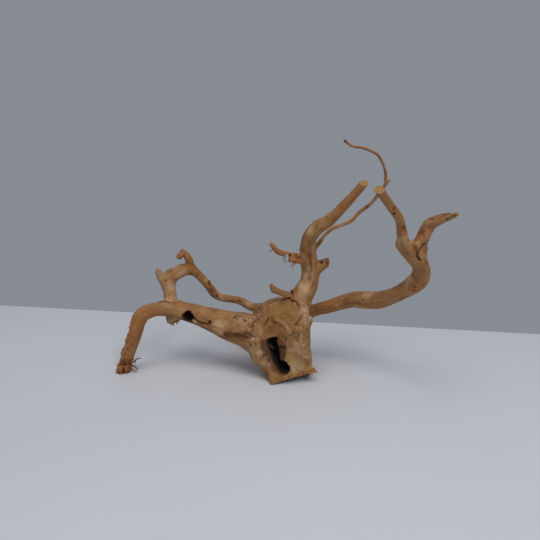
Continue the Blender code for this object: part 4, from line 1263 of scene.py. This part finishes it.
def whole_body(shape):
    """The root itself, grown from its limbs, burl and block into one skin."""
    limbs = [grow_limb(name, stations) for name, stations in LIMBS.items()]
    lumps = [burl_lump(f"burl_lump_{n}", *lump) for n, lump in enumerate(BURL)]
    root = join(limbs + lumps + [block()], "root_wood_body")
    one_skin(root, 0.75)
    places = places_of(root.data)
    near = np.zeros(len(places))
    for x, y, z, reach in CROTCHES:
        near = np.maximum(near, 1 - np.linalg.norm(places - (x, y, z), axis=1) / reach)
    group = root.vertex_groups.new(name="crotch")
    for level in np.arange(1, 11) / 10:
        chosen = np.nonzero((2 * near > level - 0.1) & (2 * near <= (level if level < 1 else 9)))[0]
        group.add([int(index) for index in chosen], float(level), "REPLACE")
    smooth_skin(root, 56, "crotch")
    smooth_skin(root, 5)
    root.vertex_groups.clear()
    put_places(root.data, swollen(places_of(root.data), normals_of(root.data)))
    walls = bored_out(root)
    one_skin(root, shape.skin_voxel / MM)
    smooth_skin(root, 1)
    places = places_of(root.data)
    inside, deep = in_holes(places, walls)
    moved, masks = surface_relief(places, normals_of(root.data), shape)
    moved = places + (moved - places) * (1 - 0.7 * inside)[:, None]
    # The slope takes the colour of the holes' walls.
    inside = np.maximum(inside, 0.7 * masks["slope"])
    masks.update(colour_masks(places), inside=inside, deep=deep)
    _, masks["unbent"], _ = along_limbs(places)
    put_places(root.data, moved)
    write_masks(root.data, moved, masks)
    for name, cut in SAW_CUTS.items():
        sawn(root, name, *cut)
    roughen_ends(root)
    thin_out(root, shape.most_triangles)
    mark_sawn_faces(root.data)
    return root


def twig(name, limbs, masks, voxel, unevenness):
    """Thin wood as a piece: its limbs in one fine skin, with grain along it and small bumps."""
    parts = [grow_limb(part, stations, 12, 1.0) for part, stations in limbs.items()]
    piece = join(parts, name)
    one_skin(piece, voxel)
    smooth_skin(piece, 2)
    places = places_of(piece.data)
    directions, unbent, radii = along_limbs(places, limbs, 0.7)
    size = np.clip(radii / 2.0, 0.2, 1.0)
    lines = streaks(places, directions, 0.7, 5.0, 95, 9)
    height = size * unevenness * (lines + 0.9 * soft_noise(places, 2.4, 96) + 0.8 * soft_noise(places, 6.0, 97))
    put_places(piece.data, places + normals_of(piece.data) * height[:, None])
    # The hollow mask puts painted shade in the grain's low lines and a painted highlight on its high lines.
    chosen = {"hollow": np.clip(0.5 - 0.35 * lines, 0, 1), "unbent": unbent}
    for mask, value in masks.items():
        chosen[mask] = value(places) if callable(value) else np.full(len(places), float(value))
    write_masks(piece.data, places, chosen)
    return piece


def splinter_stations(start, end, radius, number):
    """A splinter tapers and bends a little on its way."""
    start, end = np.array(start, float), np.array(end, float)
    run = end - start
    aside = np.array((run[2], 0.3 * run[0], -run[0]))
    aside /= np.linalg.norm(aside) + 1e-6
    bend = 0.09 * np.linalg.norm(run) * (1 if number % 2 else -1)
    return [
        (*start, radius), (*(start + 0.4 * run + aside * bend), radius * 0.82),
        (*(start + 0.75 * run + aside * bend * 0.8), radius * 0.5), (*end, 0.22),
    ]


def pressed(piece, share, way):
    """Flattens a piece across, about its middle line, to a share of its thickness."""
    way = np.array(way, float) / np.linalg.norm(way)
    places = places_of(piece.data)
    along = places[:, 2]
    order = np.argsort(along)
    off = places @ way
    trend = np.polyfit(along[order], off[order], 3)
    middle = np.polyval(trend, along)
    put_places(piece.data, places + np.outer((middle - off) * (1 - share), way))


class RootShapeSettings(bpy.types.PropertyGroup):
    skin_voxel: bpy.props.FloatProperty(
        name="Skin fineness", description="Width of the skin's faces before they are thinned out",
        default=0.0007, min=0.0004, unit="LENGTH", precision=5,
    )
    most_triangles: bpy.props.IntProperty(
        name="Most triangles", description="How many triangles the root's skin keeps", default=190000,
    )
    grain_depth: bpy.props.FloatProperty(
        name="Grain depth", description="How deep the lines of the grain are", default=0.00016,
        unit="LENGTH", precision=5,
    )
    crumb_height: bpy.props.FloatProperty(
        name="Crumb height", description="How far the burl's crumbly callus stands out",
        default=0.0013, unit="LENGTH", precision=5,
    )
    crack_depth: bpy.props.FloatProperty(
        name="Crack depth", description="Share of the cracks' own depths", default=1.0, subtype="FACTOR",
    )
    twig_voxel: bpy.props.FloatProperty(
        name="Twig fineness", description="Width of the twigs' faces", default=0.00034,
        unit="LENGTH", precision=5,
    )


def colour_property(name, description, default):
    return bpy.props.FloatVectorProperty(
        name=name, description=description, default=default, size=3, min=0, max=1, subtype="COLOR"
    )


class RootColourSettings(bpy.types.PropertyGroup):
    tan: colour_property("Tan wood", "Most of the peeled wood", (0.43, 0.225, 0.088))
    deep_tan: colour_property("Deep tan wood", "Patches of the peeled wood", (0.33, 0.155, 0.056))
    pale: colour_property("Pale wood", "Dry pale stem and block", (0.6, 0.385, 0.215))
    orange: colour_property("Orange wood", "The leg, the knee and thin twigs", (0.42, 0.165, 0.045))
    green: colour_property("Greenish tint", "Faint green and yellow patches", (0.38, 0.26, 0.08))
    stain: colour_property("Brown stain", "Damp-stained wood", (0.16, 0.072, 0.03))
    scar: colour_property("Scar", "The gouged front of the burl", (0.285, 0.137, 0.036))
    scar_light: colour_property("Light scar", "Its lighter ochre patches", (0.315, 0.160, 0.043))
    scar_brown: colour_property("Brown scar", "Its brown middle", (0.182, 0.070, 0.012))
    callus: colour_property("Callus", "Crumbly overgrowth round the scar", (0.55, 0.34, 0.175))
    cream: colour_property("Cream callus", "Its palest lumps", (0.69, 0.49, 0.33))
    bark: colour_property("Old bark", "Flakes of bark that still cling on", (0.23, 0.1, 0.034))
    bruise: colour_property("Bruise", "Reddish wood round knots", (0.155, 0.050, 0.013))
    dark_red: colour_property("Knot", "The dark heart of a knot", (0.072, 0.016, 0.006))
    # Also the painted shade in the callus's gaps and the foot's pits.
    crack: colour_property("Crack", "The dark inside of a crack", (0.095, 0.036, 0.013))
    rot_wall: colour_property("Rotten wall", "Red-brown wall of the holes", (0.115, 0.045, 0.022))
    # Painted shade that fills the depths of the holes.
    rot: colour_property("Rot", "The black depth of the holes", (0.01, 0.006, 0.004))
    sawn: colour_property("Sawn wood", "Ochre end grain", (0.37, 0.205, 0.06))
    sawn_ring: colour_property("Ring", "Its darker rings", (0.29, 0.15, 0.045))


class RootStageSettings(bpy.types.PropertyGroup):
    floor: colour_property("Floor", "Pale table top", (0.70, 0.72, 0.76))
    wall: colour_property("Wall", "Plain grey behind it, which also fills the shade", (0.245, 0.262, 0.295))
    left_power: bpy.props.FloatProperty(
        name="Left light's power", description="Strength of the soft light on the left", default=5.3,
        unit="POWER",
    )
    right_power: bpy.props.FloatProperty(
        name="Right light's power", description="Strength of the soft light on the right", default=7.8,
        unit="POWER",
    )
    light_size: bpy.props.FloatProperty(
        name="Light size", description="Width of each large soft light", default=0.75, unit="LENGTH",
    )
    light_distance: bpy.props.FloatProperty(
        name="Light distance", description="How far the lights are from the root", default=1.5,
        unit="LENGTH",
    )
    left_azimuth: bpy.props.FloatProperty(
        name="Left light's azimuth", description="Turn of the left light from straight in front",
        default=math.radians(-38), subtype="ANGLE",
    )
    left_height: bpy.props.FloatProperty(
        name="Left light's height", description="How high the left light stands above the table",
        default=math.radians(68), subtype="ANGLE",
    )
    right_azimuth: bpy.props.FloatProperty(
        name="Right light's azimuth", description="Turn of the right light from straight in front",
        default=math.radians(30), subtype="ANGLE",
    )
    right_height: bpy.props.FloatProperty(
        name="Right light's height", description="How high the right light stands above the table",
        default=math.radians(50), subtype="ANGLE",
    )
    camera_tilt: bpy.props.FloatProperty(
        name="Camera tilt", description="How far the camera looks down", default=math.radians(15),
        subtype="ANGLE",
    )


class ROOT_OT_body(bpy.types.Operator):
    """Grow the root's body: limbs, burl and block in one skin, with its holes, scars and saw cuts"""

    bl_idname = "root.body"
    bl_label = "Root body"

    def execute(self, context):
        peeled, _, end_grain = wood_materials()
        root = whole_body(context.scene.root_shape)
        finished(root, [peeled, end_grain])
        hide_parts(NODE)
        return {"FINISHED"}


class ROOT_OT_whip(bpy.types.Operator):
    """Grow the long thin whip that curls over the crown, with its fork and side strands"""

    bl_idname = "root.whip"
    bl_label = "Whip"

    def execute(self, context):
        masks = {
            "orange": lambda places: 0.35 + 0.65 * smooth_step(soft_noise(places, 9.0, 3), -0.4, 0.5),
            "pale": lambda places: 0.7 * smooth_step(soft_noise(places, 7.0, 4), 0.0, 0.6),
            "stain": lambda places: 0.9 * smooth_step(soft_noise(places, 8.0, 6), 0.0, 0.5),
            "red": lambda places: near_spots(
                places, [(68.5, -13, 234, 3.2), (107, -1, 218.5, 2), (118.5, 6, 199.5, 2.5), (98, 11, 172, 4)]
            ) * 0.7,
        }
        whip = twig("whip", WHIP, masks, context.scene.root_shape.twig_voxel / MM, 0.16)
        finished(whip, [wood_materials()[1]])
        return {"FINISHED"}


class ROOT_OT_rootlets(bpy.types.Operator):
    """Grow the fine rootlets at the foot"""

    bl_idname = "root.rootlets"
    bl_label = "Rootlets"

    def execute(self, context):
        for name, stations in ROOTLETS.items():
            masks = {"orange": 0.4, "stain": 0.9, "red": 0.35}
            piece = twig(name, {name: stations}, masks, 0.22, 0.10)
            finished(piece, [wood_materials()[1]])
        return {"FINISHED"}


class ROOT_OT_hairs(bpy.types.Operator):
    """Grow the grey hairs that hang from the side branch"""

    bl_idname = "root.hairs"
    bl_label = "Hairs"

    def execute(self, context):
        for name, stations in HAIRS.items():
            piece = twig(name, {name: stations}, {"stain": 0.8, "red": 0.2}, 0.16, 0.06)
            finished(piece, [wood_materials()[1]])
        return {"FINISHED"}


class ROOT_OT_splinters(bpy.types.Operator):
    """Make the torn fibres and splinters at broken ends, the foot and the sawn base"""

    bl_idname = "root.splinters"
    bl_label = "Splinters"

    tones = {
        "torn_fibres": {"orange": 0.8, "red": 0.30, "hollow": 0.4},
        "knob_fibres": {"orange": 0.5, "red": 0.45},
        "tine_splinters": {"orange": 0.4, "green": 0.6, "red": 0.15},
        "flap_splinters": {"orange": 0.3, "stain": 0.4},
        "prop_fibres": {"pale": 0.75, "orange": 0.2},
        "scar_splinters": {"orange": 0.9, "red": 0.4},
        "base_splinters": {"orange": 0.7, "rim": 0.8, "red": 0.12},
        "foot_toes": {"orange": 1.0, "stain": 0.3, "red": 0.1},
    }

    def execute(self, context):
        for name, parts in SPLINTERS.items():
            limbs = {
                f"{name}_{number}": splinter_stations(*part, number) for number, part in enumerate(parts)
            }
            piece = twig(name, limbs, self.tones[name], 0.3, 0.22)
            finished(piece, [wood_materials()[1]])
        return {"FINISHED"}


class ROOT_OT_bark(bpy.types.Operator):
    """Lay the strips of old bark that stand off the leg"""

    bl_idname = "root.bark"
    bl_label = "Bark strips"

    def execute(self, context):
        for name, stations in BARK_STRIPS.items():
            piece = twig(name, {name: stations}, {"orange": 0.6, "flakes": 1.0, "stain": 0.4}, 0.4, 0.28)
            pressed(piece, 0.42, (0.2, 1.0, 0.1))
            finished(piece, [wood_materials()[1]])
        return {"FINISHED"}


class ROOT_OT_chips(bpy.types.Operator):
    """Set the ledge and chips inside the rotten pocket, the chip by the limb's hole and the dry nub"""

    bl_idname = "root.chips"
    bl_label = "Chips"

    def execute(self, context):
        chips = {
            # The deep share paints shade on the chips that lie inside the pocket.
            "pocket_ledge": (LEDGE, {"inside": 1.0, "deep": 0.18, "red": 0.25}, 0.4),
            "pocket_pink_chip": (PINK_CHIP, {"orange": 0.7, "red": 0.65}, 0.6),
            "pocket_red_chip": (RED_CHIP, {"orange": 0.6, "red": 0.6}, 0.5),
            "pocket_grey_sliver": (GREY_SLIVER, {"inside": 0.9, "deep": 0.6, "stain": 0.6}, 0.5),
            "hole_pale_chip": (HOLE_CHIP, {"pale": 1.0, "cream": 1.0}, 0.25),
            "dry_nub": (NUB, {"stain": 1.0, "red": 0.8, "dark": 0.4}, 0.25),
            "stub_horn": (STUB_HORN, {"orange": 0.4, "stain": 0.3, "red": 0.15}, 0.25),
        }
        for name, (stations, masks, voxel) in chips.items():
            piece = twig(name, {name: stations}, masks, voxel, 0.35)
            finished(piece, [wood_materials()[1]])
        return {"FINISHED"}


def floor_material(colour):
    material, tree, shader = new_material("table_top", 0.55)
    put, maths, mix, ranged = sheet_of_nodes(tree)
    place = put("ShaderNodeTexCoord").outputs["Object"]
    cloud = put("ShaderNodeTexNoise", {"Vector": place, "Scale": 3.0, "Detail": 3.0}).outputs[0]
    fleck = put("ShaderNodeTexNoise", {"Vector": place, "Scale": 600.0, "Detail": 2.0}).outputs[0]
    dimmer = tuple(0.96 * part for part in colour)
    shade = mix(ranged(cloud, 0.3, 0.7), dimmer, colour)
    tree.links.new(shade, shader.inputs["Base Color"])
    tree.links.new(maths("ADD", maths("MULTIPLY", fleck, 0.08), 0.5), shader.inputs["Roughness"])
    bump = put("ShaderNodeBump", {"Strength": 0.15, "Distance": 0.0003, "Height": fleck})
    tree.links.new(bump.outputs[0], shader.inputs["Normal"])
    return material


class ROOT_OT_stage(bpy.types.Operator):
    """Set the pale table, the grey surroundings, the large soft light and the camera"""

    bl_idname = "root.stage"
    bl_label = "Stage"

    def execute(self, context):
        stage = context.scene.root_stage
        deselect_all()
        bpy.ops.mesh.primitive_plane_add(size=2.0)
        table = bpy.context.object
        table.name = "table_top"
        corners = [(-1.5, -1.3, 0), (1.5, -1.3, 0), (-1.5, 0.38, 0), (1.5, -0.045, 0)]
        table.data.vertices.foreach_set("co", np.array(corners, np.float32).ravel())
        table.data.update()
        table.data.materials.append(floor_material(tuple(stage.floor)))

        world = bpy.data.worlds.new("plain_grey")
        world.use_nodes = True
        world.node_tree.nodes["Background"].inputs["Color"].default_value = (*stage.wall, 1.0)
        context.scene.world = world

        for side in ("left", "right"):
            azimuth, height = getattr(stage, f"{side}_azimuth"), getattr(stage, f"{side}_height")
            away = Vector((math.sin(azimuth) * math.cos(height), -math.cos(azimuth) * math.cos(height), math.sin(height)))
            place = Vector((0.0, 0.0, 0.08)) + away * stage.light_distance
            bpy.ops.object.light_add(type="AREA", location=place)
            light = bpy.context.object
            light.name = f"soft_light_{side}"
            light.data.shape = "DISK"
            light.data.size = stage.light_size
            light.data.energy = getattr(stage, f"{side}_power")
            light.data.color = (1.0, 0.985, 0.96)
            light.rotation_euler = away.to_track_quat("Z", "Y").to_euler()

        bpy.ops.object.camera_add(
            location=(0.0011, -0.367, 0.216), rotation=(math.pi / 2 - stage.camera_tilt, 0.0, 0.0)
        )
        camera = bpy.context.object
        camera.data.sensor_width = 36.0
        camera.data.lens = 27.0
        camera.data.clip_start = 0.01
        context.scene.camera = camera
        return {"FINISHED"}


class ROOT_PT_panel(bpy.types.Panel):
    """The root's steps and settings"""

    bl_idname = "ROOT_PT_panel"
    bl_label = "Spiderwood root"
    bl_space_type = "VIEW_3D"
    bl_region_type = "UI"
    bl_category = "Root"

    def draw(self, context):
        for operator in STEPS:
            self.layout.operator(operator.bl_idname)
        for settings in ("root_shape", "root_colours", "root_stage"):
            group = getattr(context.scene, settings)
            box = self.layout.box()
            for name in group.bl_rna.properties.keys():
                if name not in ("rna_type", "name"):
                    box.prop(group, name)


STEPS = (
    ROOT_OT_body, ROOT_OT_whip, ROOT_OT_rootlets, ROOT_OT_hairs, ROOT_OT_splinters, ROOT_OT_bark,
    ROOT_OT_chips, ROOT_OT_stage,
)
SETTINGS = {
    "root_shape": RootShapeSettings, "root_colours": RootColourSettings, "root_stage": RootStageSettings,
}


def register():
    for name, group in SETTINGS.items():
        bpy.utils.register_class(group)
        setattr(bpy.types.Scene, name, bpy.props.PointerProperty(type=group))
    for operator in STEPS:
        bpy.utils.register_class(operator)
    bpy.utils.register_class(ROOT_PT_panel)


def unregister():
    bpy.utils.unregister_class(ROOT_PT_panel)
    for operator in reversed(STEPS):
        bpy.utils.unregister_class(operator)
    for name, group in SETTINGS.items():
        delattr(bpy.types.Scene, name)
        bpy.utils.unregister_class(group)


def main():
    register()
    bpy.ops.root.body()
    bpy.ops.root.whip()
    bpy.ops.root.rootlets()
    bpy.ops.root.hairs()
    bpy.ops.root.splinters()
    bpy.ops.root.bark()
    bpy.ops.root.chips()
    bpy.ops.root.stage()
    bpy.context.scene.view_settings.view_transform = "Standard"


if __name__ == "__main__":
    main()
